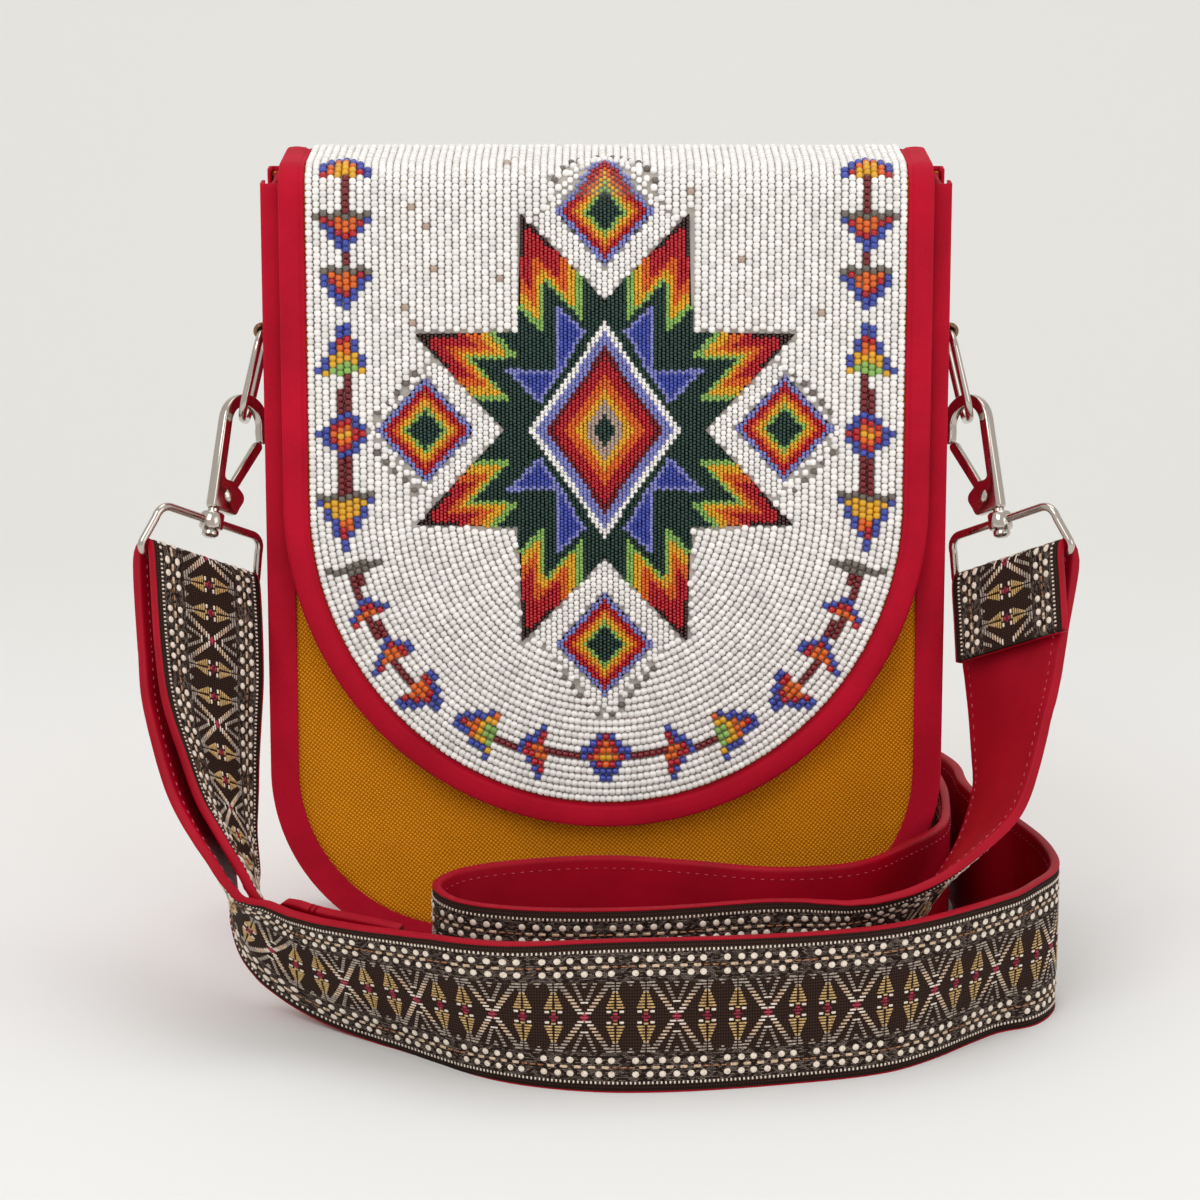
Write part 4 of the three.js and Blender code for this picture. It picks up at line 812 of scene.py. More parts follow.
def point_colour(u, v, tip, corner, notch, reach):
    """Colours of one star point by how deep a bead is inside the point's own zigzag.

    With a and b measured from the tip along its two outer edges, the point ends in two prongs: one reaches
    far along a but not b, the other far along b but not a. The bands follow the prongs' outline inwards.
    """
    tip, corner, notch = (np.asarray(p, float) for p in (tip, corner, notch))
    e1, e2 = unit(corner - tip), unit(notch - tip)
    d = np.stack([u, v], -1) - tip
    det = e1[0] * e2[1] - e1[1] * e2[0]
    a = (d[..., 0] * e2[1] - d[..., 1] * e2[0]) / det
    b = (e1[0] * d[..., 1] - e1[1] * d[..., 0]) / det
    far_a, near_a, far_b, near_b = reach
    depth = np.minimum(np.minimum(far_a - a, far_b - b), 2 * np.maximum(near_a - a, near_b - b))
    colour = np.full(np.shape(u), "dark_green", dtype=object)
    for limit, name in ((0, "light_green"), (2.6, "yellow"), (6.0, "orange"), (9.6, "red")):
        colour[depth > limit] = name
    edge = ((a < 12.0) & (b < 1.35)) | ((b < 14.0) & (a < 1.35)) | ((a < 3.4) & (b < 3.4))
    colour[(depth > 0) & edge] = "maroon"
    return colour


def banded(distance, bands, colour):
    """Paints the bands of a diamond, each up to its own share of the half size."""
    low = 0.0
    for limit, name in bands:
        colour[(distance >= low) & (distance < limit)] = name
        low = limit


SMALL_BANDS = ((0.36, "dark_green"), (0.46, "light_green"), (0.6, "yellow"), (0.71, "orange"), (0.86, "red"),
               (1.0, "periwinkle"))
CENTRE_BANDS = ((0.155, "dark_green"), (0.28, "tan"), (0.4, "yellow"), (0.53, "orange"), (0.7, "red"),
                (0.79, "dark_red"), (0.93, "periwinkle"), (1.03, "white"))


def star_region(x, s, margin=0.0):
    """True inside the star or one of the small diamonds, by more than the margin."""
    u, v = in_quarter(x, s)
    result = inside_convex(u, v, LONG_POINT, margin) | inside_convex(u, v, WIDE_POINT, margin)
    for cx, cs in SMALL_DIAMONDS:
        distance = np.abs(x - STAR_X - cx) / DIAMOND_HALF[0] + np.abs(s - STAR_S - cs) / DIAMOND_HALF[1]
        result |= distance < 1 - margin / 10.7
    return result


def notch_region(x, s, margin=0.0):
    """True in the white corners between the star's points, where the beads are smaller than the ground's."""
    u, v = in_quarter(x, s)
    above = (u < 24.3) & (v > 36) & (1.162 * u + v < 87.0 - margin)
    beside = (v < 28.7) & (u > 28) & (u + 0.95 * v < 70.5 - margin)
    return above | beside


def star_colour(x, s):
    """The colour of each fine bead of the star and the diamonds, from the points inwards."""
    u, v = in_quarter(x, s)
    colour = np.full(np.shape(x), "dark_green", dtype=object)
    for corners, tip, notch, reach in (
        (LONG_POINT, TIP_LONG, (0, NOTCH_LONG), (28.2, 12.4, 26.6, 10.8)),
        (WIDE_POINT, TIP_WIDE, (NOTCH_WIDE, 0), (24.2, 10.2, 27.2, 10.2)),
    ):
        inside = inside_convex(u, v, corners, -0.01)
        colour[inside] = point_colour(u[inside], v[inside], tip, CORNER, notch, reach)
    for corners in (LONG_BLUE, WIDE_BLUE):
        colour[inside_convex(u, v, corners, -0.4)] = "periwinkle"
        colour[inside_convex(u, v, corners, 0.9)] = "blue"
    dx, ds = x - STAR_X, s - STAR_S
    painted = colour.copy()
    banded(np.abs(dx) / CENTRE_HALF[0] + np.abs(ds) / CENTRE_HALF[1], CENTRE_BANDS, painted)
    for cx, cs in SMALL_DIAMONDS:
        distance = np.abs(dx - cx) / DIAMOND_HALF[0] + np.abs(ds - cs) / DIAMOND_HALF[1]
        banded(distance, SMALL_BANDS, painted)
    return painted


def all_white(x, s):
    """White for every bead."""
    return np.full(np.shape(x), "white", dtype=object)


def all_smoke(x, s):
    """Smoke grey for every bead."""
    return np.full(np.shape(x), "smoke", dtype=object)


# Each arrow: its point, and the two ends of its base, then how rich its colours are. Left side, mirrored.
ARROWS = (
    ((-77.0, 204.5), (-84.5, 196.8), (-69.6, 196.8), 1),
    ((-77.0, 176.6), (-84.2, 185.2), (-69.8, 185.2), 0),
    ((-77.2, 159.6), (-84.2, 169.2), (-70.0, 169.2), 0),
    ((-77.4, 154.8), (-84.8, 140.4), (-70.4, 140.4), 2),
    ((-77.9, 87.4), (-85.0, 101.0), (-70.6, 101.0), 1),
    ((-73.1, 72.0), (-65.4, 69.3), (-77.0, 62.6), 0),
    ((-66.6, 59.6), (-58.6, 56.9), (-69.2, 49.0), 0),
    ((-50.4, 38.0), (-62.3, 39.0), (-52.0, 49.0), 0),
    ((-46.2, 34.6), (-32.4, 36.2), (-36.0, 21.8), 2),
    ((-26.5, 25.4), (-18.2, 31.2), (-20.4, 16.6), 0),
)
STEMS = (
    ((-77.0, 196.0), (-77.0, 184.8)),
    ((-77.1, 176.6), (-77.2, 169.0)),
    ((-77.4, 140.4), (-77.5, 128.0)),
    ((-77.6, 114.6), (-77.7, 101.6)),
    ((-75.4, 81.5), (-73.2, 71.6)),
    ((-71.2, 66.6), (-66.8, 59.0)),
    ((-64.0, 53.2), (-57.4, 44.4)),
    ((-34.3, 29.3), (-26.6, 25.6)),
    ((-19.4, 24.2), (-7.6, 23.2)),
)
BARS = (
    ((-84.2, 186.2), (-69.8, 186.2)),
    ((-84.2, 170.2), (-70.0, 170.2)),
    ((-85.0, 102.4), (-70.6, 102.4)),
    ((-82.0, 79.4), (-69.0, 82.0)),
)
CHAIN_DIAMONDS = (((-77.5, 121.4), (7.2, 7.0)), ((0.0, 23.0), (7.4, 7.4)))
DOTS = (
    (-56.3, 139.5), (-59.0, 136.8), (-61.7, 133.9), (-64.4, 131.0), (-67.2, 128.2),
    (-67.6, 115.9), (-64.9, 113.1), (-62.2, 110.3), (-59.5, 107.5), (-56.6, 104.6),
    (-14.8, 49.8), (-12.4, 47.0), (-9.9, 44.3), (-7.5, 41.4), (-5.1, 38.6), (-2.3, 35.9),
    (-14.8, 195.6), (-12.4, 198.4), (-9.9, 201.1), (-7.5, 204.0), (-5.1, 206.8), (-2.3, 209.5),
)


def segment_distance(x, s, a, b):
    """How far each point is from the straight line between a and b."""
    a, b = np.asarray(a, float), np.asarray(b, float)
    d = b - a
    t = np.clip(((x - a[0]) * d[0] + (s - a[1]) * d[1]) / (d @ d), 0, 1)
    return np.hypot(x - a[0] - t * d[0], s - a[1] - t * d[1])


def ground_colour(x, s):
    """White, but for the arrows, stems, bars and scattered dots strung into the ground's own columns."""
    colour = np.full(np.shape(x), "white", dtype=object)
    mirrored = -np.abs(x)
    for a, b in STEMS:
        colour[segment_distance(mirrored, s, a, b) < 1.25] = "dark_red"
    for a, b in BARS:
        colour[segment_distance(mirrored, s, a, b) < 1.3] = "smoke"
    for point, left, right, rich in ARROWS:
        corners = np.array((point, left, right))
        middle = (corners[1] + corners[2]) / 2
        inside = inside_convex(mirrored, s, corners, -0.75)
        edge = np.minimum(
            segment_distance(mirrored, s, corners[0], corners[1]),
            segment_distance(mirrored, s, corners[0], corners[2]),
        )
        base = np.hypot(mirrored - middle[0], s - middle[1])
        reach = np.linalg.norm(corners[0] - middle)
        inner = colour.copy()
        inner[inside] = "red"
        inner[inside & (base < (0.62 if rich else 0.42) * reach)] = "orange"
        if rich:
            inner[inside & (base < 0.42 * reach)] = "yellow"
        if rich > 1:
            inner[inside & (base < 0.24 * reach)] = "light_green"
        inner[inside & (edge < 1.05)] = "blue"
        colour = inner
    for (cx, cs), (w, h) in CHAIN_DIAMONDS:
        distance = np.abs(mirrored - cx) / w + np.abs(s - cs) / h
        banded(distance, ((0.3, "yellow"), (0.52, "orange"), (0.8, "red"), (1.15, "blue")), colour)
    rng = np.random.default_rng(RNG_SEED)
    spots = np.stack([rng.uniform(-66, 66, 16), rng.uniform(150, 212, 16)], -1)
    for cx, cs in spots:
        near = np.hypot(x - cx, s - cs)
        pick = (near < 1.1) & (colour == "white")
        colour[pick] = "tan"
    return colour


def dot_beads():
    """The single smoke-grey beads that frame the small diamonds."""
    dots = np.array(DOTS)
    dots = np.concatenate([dots, dots * [-1, 1]])
    dots[:, 0] += STAR_X
    return np.column_stack([dots, np.zeros(len(dots)), np.ones(len(dots))])


def clear_of_dots(rows, reach):
    """Leaves out the beads whose place a smoke-grey bead takes."""
    dots = dot_beads()
    gap = np.hypot(rows[:, None, 0] - dots[None, :, 0], rows[:, None, 1] - dots[None, :, 1])
    return rows[gap.min(1) > reach]


def ground_beads():
    """Strings of beads in nested Us, each string's beads half a step on from the last one's."""
    rows = []
    strings = int((FLAP_WIDTH / 2 - FIELD_INSET) / COLUMN_PITCH)
    for k in range(strings):
        inset = FIELD_INSET + COLUMN_PITCH * (k + 0.5)
        x, s, along = flap_outline(inset, S_BEADS, spacing=BEAD_PITCH, phase=0.5 * (k % 2), height=2.9)
        rows.append(np.column_stack([x, s, along]))
    rows = np.concatenate(rows)
    taken = star_region(rows[:, 0], rows[:, 1], -0.5) | notch_region(rows[:, 0], rows[:, 1])
    return clear_of_dots(rows[~taken], 1.2)


def grid_beads(pitch, region, reach):
    """Upright columns of beads over a region, every other column half a bead lower."""
    columns = np.arange(-int(75 / pitch[0]), int(75 / pitch[0]) + 1)
    steps = np.arange(-int(85 / pitch[1]), int(92 / pitch[1]) + 1)
    cc, ss = np.meshgrid(columns, steps, indexing="ij")
    x = (STAR_X + cc * pitch[0]).ravel()
    s = (STAR_S + (ss + 0.5 * (cc % 2)) * pitch[1]).ravel()
    keep = region(x, s)
    rows = np.column_stack([x[keep], s[keep], np.zeros(keep.sum()), np.ones(keep.sum())])
    return clear_of_dots(rows, reach)


def bead_mesh(rows, radius, half_length, seat, sides, rng):
    """A barrel for each bead: four rings, the end rings drawn in, turned along its string."""
    x, s, along = rows[:, 0], rows[:, 1], rows[:, 2:4]
    count = len(rows)
    place, normal, tangent = flap_frame(s)
    place[:, 0] += x
    across = np.zeros_like(place)
    across[:, 0] = 1
    direction = along[:, :1] * across + along[:, 1:] * tangent
    tilt = rng.normal(0, 0.05, (count, 3))
    direction = unit(direction + tilt)
    side = unit(np.cross(normal, direction))
    up = np.cross(direction, side)
    size = 1 + rng.normal(0, 0.03, count)
    centre = place + normal * (seat + radius * 0.97 + rng.normal(0, 0.04, count))[:, None]
    centre += side * rng.normal(0, 0.04, count)[:, None]
    ends = np.array([-1.0, -0.56, 0.56, 1.0])
    girth = np.array([0.56, 1.0, 1.0, 0.56])
    angles = np.linspace(0, 2 * math.pi, sides, endpoint=False)
    cos, sin = np.cos(angles), np.sin(angles)
    ring = cos[None, :, None] * side[:, None] + sin[None, :, None] * up[:, None]
    size = size[:, None, None, None]
    lengthwise = direction[:, None, None] * (ends * half_length)[None, :, None, None] * size
    points = centre[:, None, None] + lengthwise + ring[:, None] * (girth * radius)[None, :, None, None] * size
    base = np.arange(count)[:, None, None] * 4 * sides
    quads = (grid_faces(4, sides, False, True)[None] + base).reshape(-1, 4)
    caps = np.stack([np.arange(sides)[::-1], 3 * sides + np.arange(sides)])[None] + base
    tone = np.repeat(np.clip(1 + rng.normal(0, 0.06, count), 0.8, 1.12), 4 * sides)
    return points.reshape(-1, 3), [quads, caps.reshape(-1, sides)], tone


def build_beads():
    """One piece for each colour; the white ground is three pieces, for the sides, round end and folds."""
    rng = np.random.default_rng(RNG_SEED)
    sets = []
    notch = grid_beads(NOTCH_PITCH, lambda x, s: notch_region(x, s, 0.3) & ~star_region(x, s, -0.5), 1.15)
    star = grid_beads(FINE_PITCH, lambda x, s: star_region(x, s, -0.02), 0.9)
    for rows, colours, radius, half_length, seat, sides in (
        (ground_beads(), ground_colour, 1.06, 0.96, BEAD_SEAT, 8),
        (notch, all_white, 0.84, 0.8, BEAD_SEAT + 0.25, 8),
        (dot_beads(), all_smoke, 0.98, 0.8, BEAD_SEAT + 0.1, 8),
        (star, star_colour, 0.6, 0.55, BEAD_SEAT + 0.5, 6),
    ):
        sets.append((rows, colours(rows[:, 0], rows[:, 1]), radius, half_length, seat, sides))
    stands_for = {
        "white": ("bead_ground",),
        "dark_green": ("star_field", "diamond_top_core", "diamond_bottom_core", "diamond_left_core",
                       "diamond_right_core"),
        "orange": tuple(f"star_tip_{i}" for i in (1, 3, 5, 7)) + tuple(
            f"diamond_{side}_middle" for side in ("top", "bottom", "left", "right")),
        "red": tuple(f"star_tip_{i}" for i in (2, 4, 6, 8)) + (
            "star_diamond_middle", "arrow_chain_left", "arrow_chain_right"),
        "periwinkle": ("star_diamond_edge",) + tuple(
            f"diamond_{side}_edge" for side in ("top", "bottom", "left", "right")),
        "yellow": ("star_diamond_core",),
    }
    for name in BEAD_COLOURS:
        parts = [(rows[colours == name], *shape) for rows, colours, *shape in sets]
        if name == "white":
            ground, *shape = parts[0]
            low, high = ground[:, 1] < 88, ground[:, 1] > 160
            split = {
                "beads_white_round": [(ground[low], *shape)],
                "beads_white_sides": [(ground[~low & ~high], *shape), *parts[1:]],
                "beads_white_top": [(ground[high], *shape)],
            }
        else:
            split = {f"beads_{name}": parts}
        for piece, groups in split.items():
            made = [bead_mesh(*group, rng) for group in groups if len(group[0])]
            points, faces = joined([(p, f) for p, f, _ in made])
            replaced = stands_for.get(name, ()) if piece in ("beads_white_sides", f"beads_{name}") else ()
            add_piece(piece, points, faces, f"bead_{name}", replaces=replaced,
                      tone=np.concatenate([tone for _, _, tone in made]))


def build_yarn_and_shade_slabs():
    """The stitched thread under the beads, coloured with painted shade: a pale slab over the field, and dark
    ones under the figures, their colours the thread's own with painted shade from the gaps between beads
    mixed in.
    """
    half, drop = FLAP_WIDTH / 2 - FIELD_INSET - 0.5, FLAP_ROUND_DROP - FIELD_INSET - 0.5
    low = FLAP_ROUND_DROP - drop * np.cos(np.linspace(0.02, math.pi / 2, 40))
    s = np.concatenate([low, np.linspace(FLAP_ROUND_DROP + 2, S_BEADS - 1, 110)])
    width = half * np.sqrt(np.clip(1 - (np.clip(FLAP_ROUND_DROP - s, 0, drop) / drop) ** 2, 1e-4, 1))
    x = width[:, None] * np.linspace(-1, 1, 41)[None]
    grid_s = np.broadcast_to(s[:, None], x.shape)
    layers = [flap_point(x, grid_s, h) for h in (FLAP_THICKNESS, THREAD_HEIGHT)]
    ring = np.concatenate([layers[0], layers[1][:, ::-1]], 1)
    # Pale grey slab seen between the beads: thread colour plus painted shade in the gaps.
    add_piece("bead_thread", ring, swept(ring), "felt")
    quarter = [(NOTCH_WIDE, 0), TIP_WIDE, CORNER, TIP_LONG, (0, NOTCH_LONG)]
    star = quarter + [(-a, b) for a, b in quarter[-2::-1]]
    star += [(a, -b) for a, b in star[-2:0:-1]]
    outlines = [star] + [[(cx + a, cs + b) for a, b in (
        (DIAMOND_HALF[0], 0), (0, DIAMOND_HALF[1]), (-DIAMOND_HALF[0], 0), (0, -DIAMOND_HALF[1]))]
        for cx, cs in SMALL_DIAMONDS]
    parts = []
    for outline in outlines:
        outline = np.array(outline, float)
        rings = [flap_point(outline[:, 0] + STAR_X, outline[:, 1] + STAR_S, np.full(len(outline), h))
                 for h in (THREAD_HEIGHT - 0.5, STAR_THREAD_HEIGHT)]
        parts.append((np.concatenate(rings), swept(np.stack(rings))))
    points, faces = joined(parts)
    # Near-black slabs under the figures: dark thread plus painted shade in the gaps between the fine beads.
    add_piece("figure_yarn_and_shade", points, faces, "dark_thread")


# The strap

def turned(turn, tip, roll):
    """Turns by roll about y, then by tip about x, then by turn about z, in degrees."""
    a, b, c = (math.radians(v) for v in (turn, tip, roll))
    rz = np.array([[math.cos(a), -math.sin(a), 0], [math.sin(a), math.cos(a), 0], [0, 0, 1]])
    rx = np.array([[1, 0, 0], [0, math.cos(b), -math.sin(b)], [0, math.sin(b), math.cos(b)]])
    ry = np.array([[math.cos(c), 0, math.sin(c)], [0, 1, 0], [-math.sin(c), 0, math.cos(c)]])
    return rz @ rx @ ry


def hook_place(side):
    """The turn and the place of a hook's own frame: the top of its swivel post."""
    place = np.array([side * HOOK_PLACE[0], *HOOK_PLACE[1:]])
    return turned(-side * HOOK_TURN, -HOOK_TIP, -side * HOOK_ROLL), place


def ring_place(side):
    """The turn and the place of a ring's own frame: the middle of its upper bar."""
    return turned(0, -RING_TIP, -side * RING_LEAN), np.array([side * RING_TOP[0], *RING_TOP[1:]])


def loop_bar(side):
    """The middle of the strap loop's lower bar, and the bar's direction away from the pouch."""
    turn, place = hook_place(side)
    tilt = math.radians(LOOP_TILT)
    bar_z = -EYE_GAP - EYE_HEIGHT / 2
    local = np.array([0, LOOP_HEIGHT * math.sin(tilt), bar_z - LOOP_HEIGHT * math.cos(tilt)])
    return place + turn @ local, turn @ np.array([side, 0, 0])


def catmull(points, count):
    """A centripetal Catmull-Rom curve through the points, the same number of steps on each span."""
    points = np.asarray(points, float)
    p0 = np.vstack([2 * points[0] - points[1], points[:-2]])
    p1, p2 = points[:-1], points[1:]
    p3 = np.vstack([points[2:], 2 * points[-1] - points[-2]])
    steps = ((p0, p1), (p1, p2), (p2, p3))
    d0, d1, d2 = (np.maximum(np.sum((b - a) ** 2, -1, keepdims=True) ** 0.25, 1e-4) for a, b in steps)
    t1 = ((p1 - p0) / d0 - (p2 - p0) / (d0 + d1) + (p2 - p1) / d1) * d1
    t2 = ((p2 - p1) / d1 - (p3 - p1) / (d1 + d2) + (p3 - p2) / d2) * d1
    t = (np.arange(count) / count)[None, :, None]
    a, b = p1[:, None], t1[:, None]
    c = (-3 * p1 + 3 * p2 - 2 * t1 - t2)[:, None]
    d = (2 * p1 - 2 * p2 + t1 + t2)[:, None]
    curve = (a + b * t + c * t ** 2 + d * t ** 3).reshape(-1, points.shape[1])
    return np.vstack([curve, points[-1:]])


def with_normals(p, w):
    """The direction along the strap, and the normal towards its lining: along crossed with across."""
    along = unit(np.gradient(p, axis=0))
    return along, unit(np.cross(along, w))


def fold_over(bar, w, down, n):
    """Half a turn round the bar, from the side away from the lining to the side that it faces."""
    radius = LOOP_WIRE / 2 + CLEARANCE + STRAP_DEPTH / 2
    angles = np.radians(np.linspace(0, 180, 5))[:, None]
    p = bar - n * radius * np.cos(angles) - down * radius * np.sin(angles)
    return np.hstack([p, np.broadcast_to(w, p.shape)])


def strap_line():
    """The strap's whole route as even stations: the middle of its width, across, and the lining's normal."""
    (left_bar, left_w), (right_bar, right_w) = loop_bar(-1), loop_bar(1)
    fall, rise = (np.asarray(v, float) for v in (RIGHT_FALL, LEFT_RISE))
    table = np.array([(x, y, UPRIGHT_Z, 0, 0, 1) for x, y in TABLE_ROUTE], float)
    keys = np.vstack([fall, table, rise])
    keys[:, 3:] = unit(keys[:, 3:])

    def down_from(bar, first, w):
        d = first - bar
        return unit(d - w * (d @ w))

    right_down = down_from(right_bar, fall[0, :3], right_w)
    left_down = down_from(left_bar, rise[-1, :3], left_w)
    right_n = unit(np.cross(right_down, right_w))
    left_n = -unit(np.cross(left_down, left_w))
    right_fold = fold_over(right_bar, right_w, right_down, right_n)[::-1]
    left_fold = fold_over(left_bar, left_w, left_down, left_n)
    tab_end = right_fold[0, :3] + right_down * TAB_LENGTH + right_n * 2.4
    tab = np.vstack([tab_end, (tab_end + right_fold[0, :3]) / 2])
    tab = np.hstack([tab, np.broadcast_to(right_w, tab.shape)])
    middle = catmull(keys[:, :3], 3)
    edge = catmull(keys[:, :3] + keys[:, 3:] * STRAP_WIDTH / 2, 3)
    route = np.hstack([middle, unit(edge - middle)])
    _, n = with_normals(rise[:, :3], unit(rise[:, 3:]))
    across = unit(rise[:, 3:])
    shift = np.clip(np.arange(len(rise))[::-1] - 0.5, 0, 2)[:, None] / 2 * TAIL_SHIFT
    tail = np.hstack([rise[:, :3] + n * TAIL_SPREAD - across * shift, across])[-8:][::-1]
    stations = np.vstack([tab, right_fold, route, left_fold, tail])
    smooth = catmull(stations, 8)
    p = even(smooth, 1500)
    w = unit(p[:, 3:])
    p = p[:, :3]
    along, n = with_normals(p, w)
    w = unit(np.cross(n, along))
    lengths = np.concatenate([[0], np.cumsum(np.linalg.norm(np.diff(p, axis=0), axis=1))])
    return p, w, n, lengths


def ribbon(line, section):
    """A section of (across, depth) pairs carried along the strap, with its own length and width as UVs."""
    p, w, n, lengths = line
    points = p[:, None] + w[:, None] * section[None, :, :1] + n[:, None] * section[None, :, 1:]
    uv = np.stack(np.broadcast_arrays(lengths[:, None], section[None, :, 0] + STRAP_WIDTH / 2), -1)
    return points, swept(points), uv


def strap_motifs():
    """One repeat of the strap's figure as floats: along, across, half length, half width and yarn.

    A cross stands at the start of the repeat with a chevron in each open end. Two diamonds follow it, each
    with a small magenta cross at its middle. Rows of round dots with ovals between run along both edges.
    """
    floats = []
    third = STRAP_REPEAT / 3
    floats += [(0.0, 0.0, 1.5, 0.45, "magenta")]
    for up in (-1, 1):
        floats.append((0.0, up * 0.85, 0.75, 0.36, "magenta"))
        for k, v in enumerate(np.arange(1.3, 10.7, 0.98)):
            yarn = "cream" if k < 2 else "beige" if k < 6 else "grey"
            reach = 1.05 + (v - 1.3) * 0.66
            floats += [(side * reach, up * v, 1.08, 0.33, yarn) for side in (-1, 1)]
        for k, v in enumerate(np.arange(4.4, 10.8, 0.92)):
            reach = 0.55 + (v - 4.4) * 0.42
            floats += [(side * reach, up * v, 0.66, 0.29, "cream" if k == 0 else "grey") for side in (-1, 1)]
            if v > 8.4:
                floats.append((0.0, up * v, (v - 7.6) * 0.4, 0.27, "grey"))
        for middle in (-third, third):
            floats.append((middle, 0.0, 1.55, 0.5, "magenta"))
            floats.append((middle, up * 0.92, 0.72, 0.42, "magenta"))
            floats += [(middle + side * 1.8, up * 1.6, 0.74, 0.44, "cream") for side in (-1, 1)]
            floats.append((middle, up * 1.95, 0.75, 0.34, "gold"))
            for v in np.arange(2.8, 7.3, 0.86):
                half = 2.8 - (v - 2.8) * 0.43
                floats += [(middle + side * (half / 2 + 0.06), up * v, half / 2 - 0.1, 0.31, "gold")
                           for side in (-1, 1)]
            for v in np.arange(7.5, 10.8, 0.84):
                half = 0.75 + (v - 7.5) * 0.42
                floats += [(middle + side * (half / 2 + 0.05), up * v, half / 2 - 0.02, 0.26, "grey")
                           for side in (-1, 1)]
        for v in (9.3, 10.2):
            floats.append((STRAP_REPEAT / 2, up * v, 0.5 + (v - 9.3) * 0.7, 0.25, "grey"))
        for along in (0.0, 4.0, 7.5, 11.5, 18.2, 21.7):
            floats += [(along, up * v, 1.08, 1.02, "dot") for v in (12.75, 16.8)]
        for along in (1.95, 5.8, 9.5, 19.9, 23.7):
            floats.append((along, up * 14.78, 1.2, 0.55, "beige"))
        for along in (12.4, 14.8, 17.2):
            floats.append((along, up * 14.78, 0.95, 0.24, "russet"))
        for along in np.arange(0.6, STRAP_REPEAT, STRAP_REPEAT / 21):
            floats.append((along, up * 19.3, 0.28, 0.52, "cream"))
    return floats


FLOAT_SHAPES = {
    "plain": (6, ((1.0, -0.1), (0.78, 0.24)), 0.55),
    "dot": (8, ((1.0, -0.1), (0.86, 0.26), (0.42, 0.42)), 1.0),
}


def floats_mesh(line, floats, depth, shape="plain"):
    """A low pillow for each float: rings of points on the strap's face, each smaller and higher."""
    p, w, n, lengths = line
    sides, rings, squareness = FLOAT_SHAPES[shape]
    floats = np.asarray(floats, float)
    at = floats[:, 0]
    keep = (at > 1.5) & (at < lengths[-1] - 1.5)
    floats, at = floats[keep], at[keep]
    angles = np.linspace(0, 2 * math.pi, sides, endpoint=False)
    if sides == 6:
        angles += np.array([0.0, -0.25, 0.25, 0.0, -0.25, 0.25])
    c, s = np.cos(angles), np.sin(angles)
    square = np.sign(c) * np.abs(c) ** squareness, np.sign(s) * np.abs(s) ** squareness
    layers = []
    for share, lift in rings:
        u = at[:, None] + floats[:, 2, None] * square[0] * share
        v = floats[:, 1, None] + floats[:, 3, None] * square[1] * share
        base = np.stack([np.interp(u, lengths, p[:, k]) for k in range(3)], -1)
        side = unit(np.stack([np.interp(u, lengths, w[:, k]) for k in range(3)], -1))
        out = unit(np.stack([np.interp(u, lengths, n[:, k]) for k in range(3)], -1))
        layers.append(base + side * v[..., None] + out * (depth + np.sign(depth) * lift))
    points = np.stack(layers, 1)
    rows = len(rings)
    base = np.arange(len(floats))[:, None, None] * rows * sides
    quads = (grid_faces(rows, sides, False, True)[None] + base).reshape(-1, 4)
    caps = np.stack([np.arange(sides)[::-1], (rows - 1) * sides + np.arange(sides)])[None] + base
    return points.reshape(-1, 3), [quads, caps.reshape(-1, sides)]


def build_strap():
    """The webbing, its woven figure, the lining and the lining's two rows of stitches."""
    line = strap_line()
    length = line[3][-1]
    face, back = -STRAP_DEPTH / 2, STRAP_DEPTH / 2
    half = STRAP_WIDTH / 2
    under, edge = face + 1.0, half - 0.3
    top = [(v, face) for v in np.linspace(edge, -edge, 13)]
    low = [(v, under) for v in np.linspace(-edge, edge, 13)]
    points, faces, uv = ribbon(line, np.array(top + low))
    webbing = add_piece("strap_jacquard", points, faces, "webbing", replaces=("strap_webbing",), uv=uv)
    rim = half + 0.3
    crown = [(v, back + 0.12 * math.cos(v / half * math.pi / 2))
             for v in np.linspace(-edge + 0.6, edge - 0.6, 13)]
    section = np.array([
        (edge + 0.08, face - 0.05), (edge + 0.08, under + 0.12), (-edge - 0.08, under + 0.12),
        (-edge - 0.08, face - 0.05), (-edge - 0.4, face - 0.12), (-rim, face + 0.25), (-rim, back - 0.5),
        (-edge - 0.2, back - 0.08), *crown,
        (edge + 0.2, back - 0.08), (rim, back - 0.5), (rim, face + 0.25), (edge + 0.4, face - 0.12),
    ])
    points, faces, uv = ribbon(line, section)
    lining = add_piece("strap_satin", points, faces, "lining", replaces=("strap_lining",), uv=uv)
    figure = strap_motifs()
    repeats = np.arange(-1, int(length / STRAP_REPEAT) + 1) * STRAP_REPEAT
    for yarn in ("cream", "dot", "beige", "gold", "grey", "magenta", "russet"):
        one = np.array([f[:4] for f in figure if f[4] == yarn])
        many = np.concatenate([one + np.array([start, 0, 0, 0]) for start in repeats])
        points, faces = floats_mesh(line, many, face, "dot" if yarn == "dot" else "plain")
        add_piece(f"strap_{yarn}_yarn", points, faces, "cream" if yarn == "dot" else yarn)
    stitches = []
    for v in (half - 2.9, -half + 2.9):
        stitches += [(u, v, 0.6, 0.11) for u in np.arange(2, length - 2, 2.8)]
    points, faces = floats_mesh(line, stitches, back + 0.02)
    add_piece("strap_stitches", points, faces, "stitch")


# Hardware

def placed(part, turn, place):
    points, faces = part
    return points @ turn.T + place, faces


def mirrored(points, side):
    points = np.array(points, float)
    points[..., 0] *= side
    return points


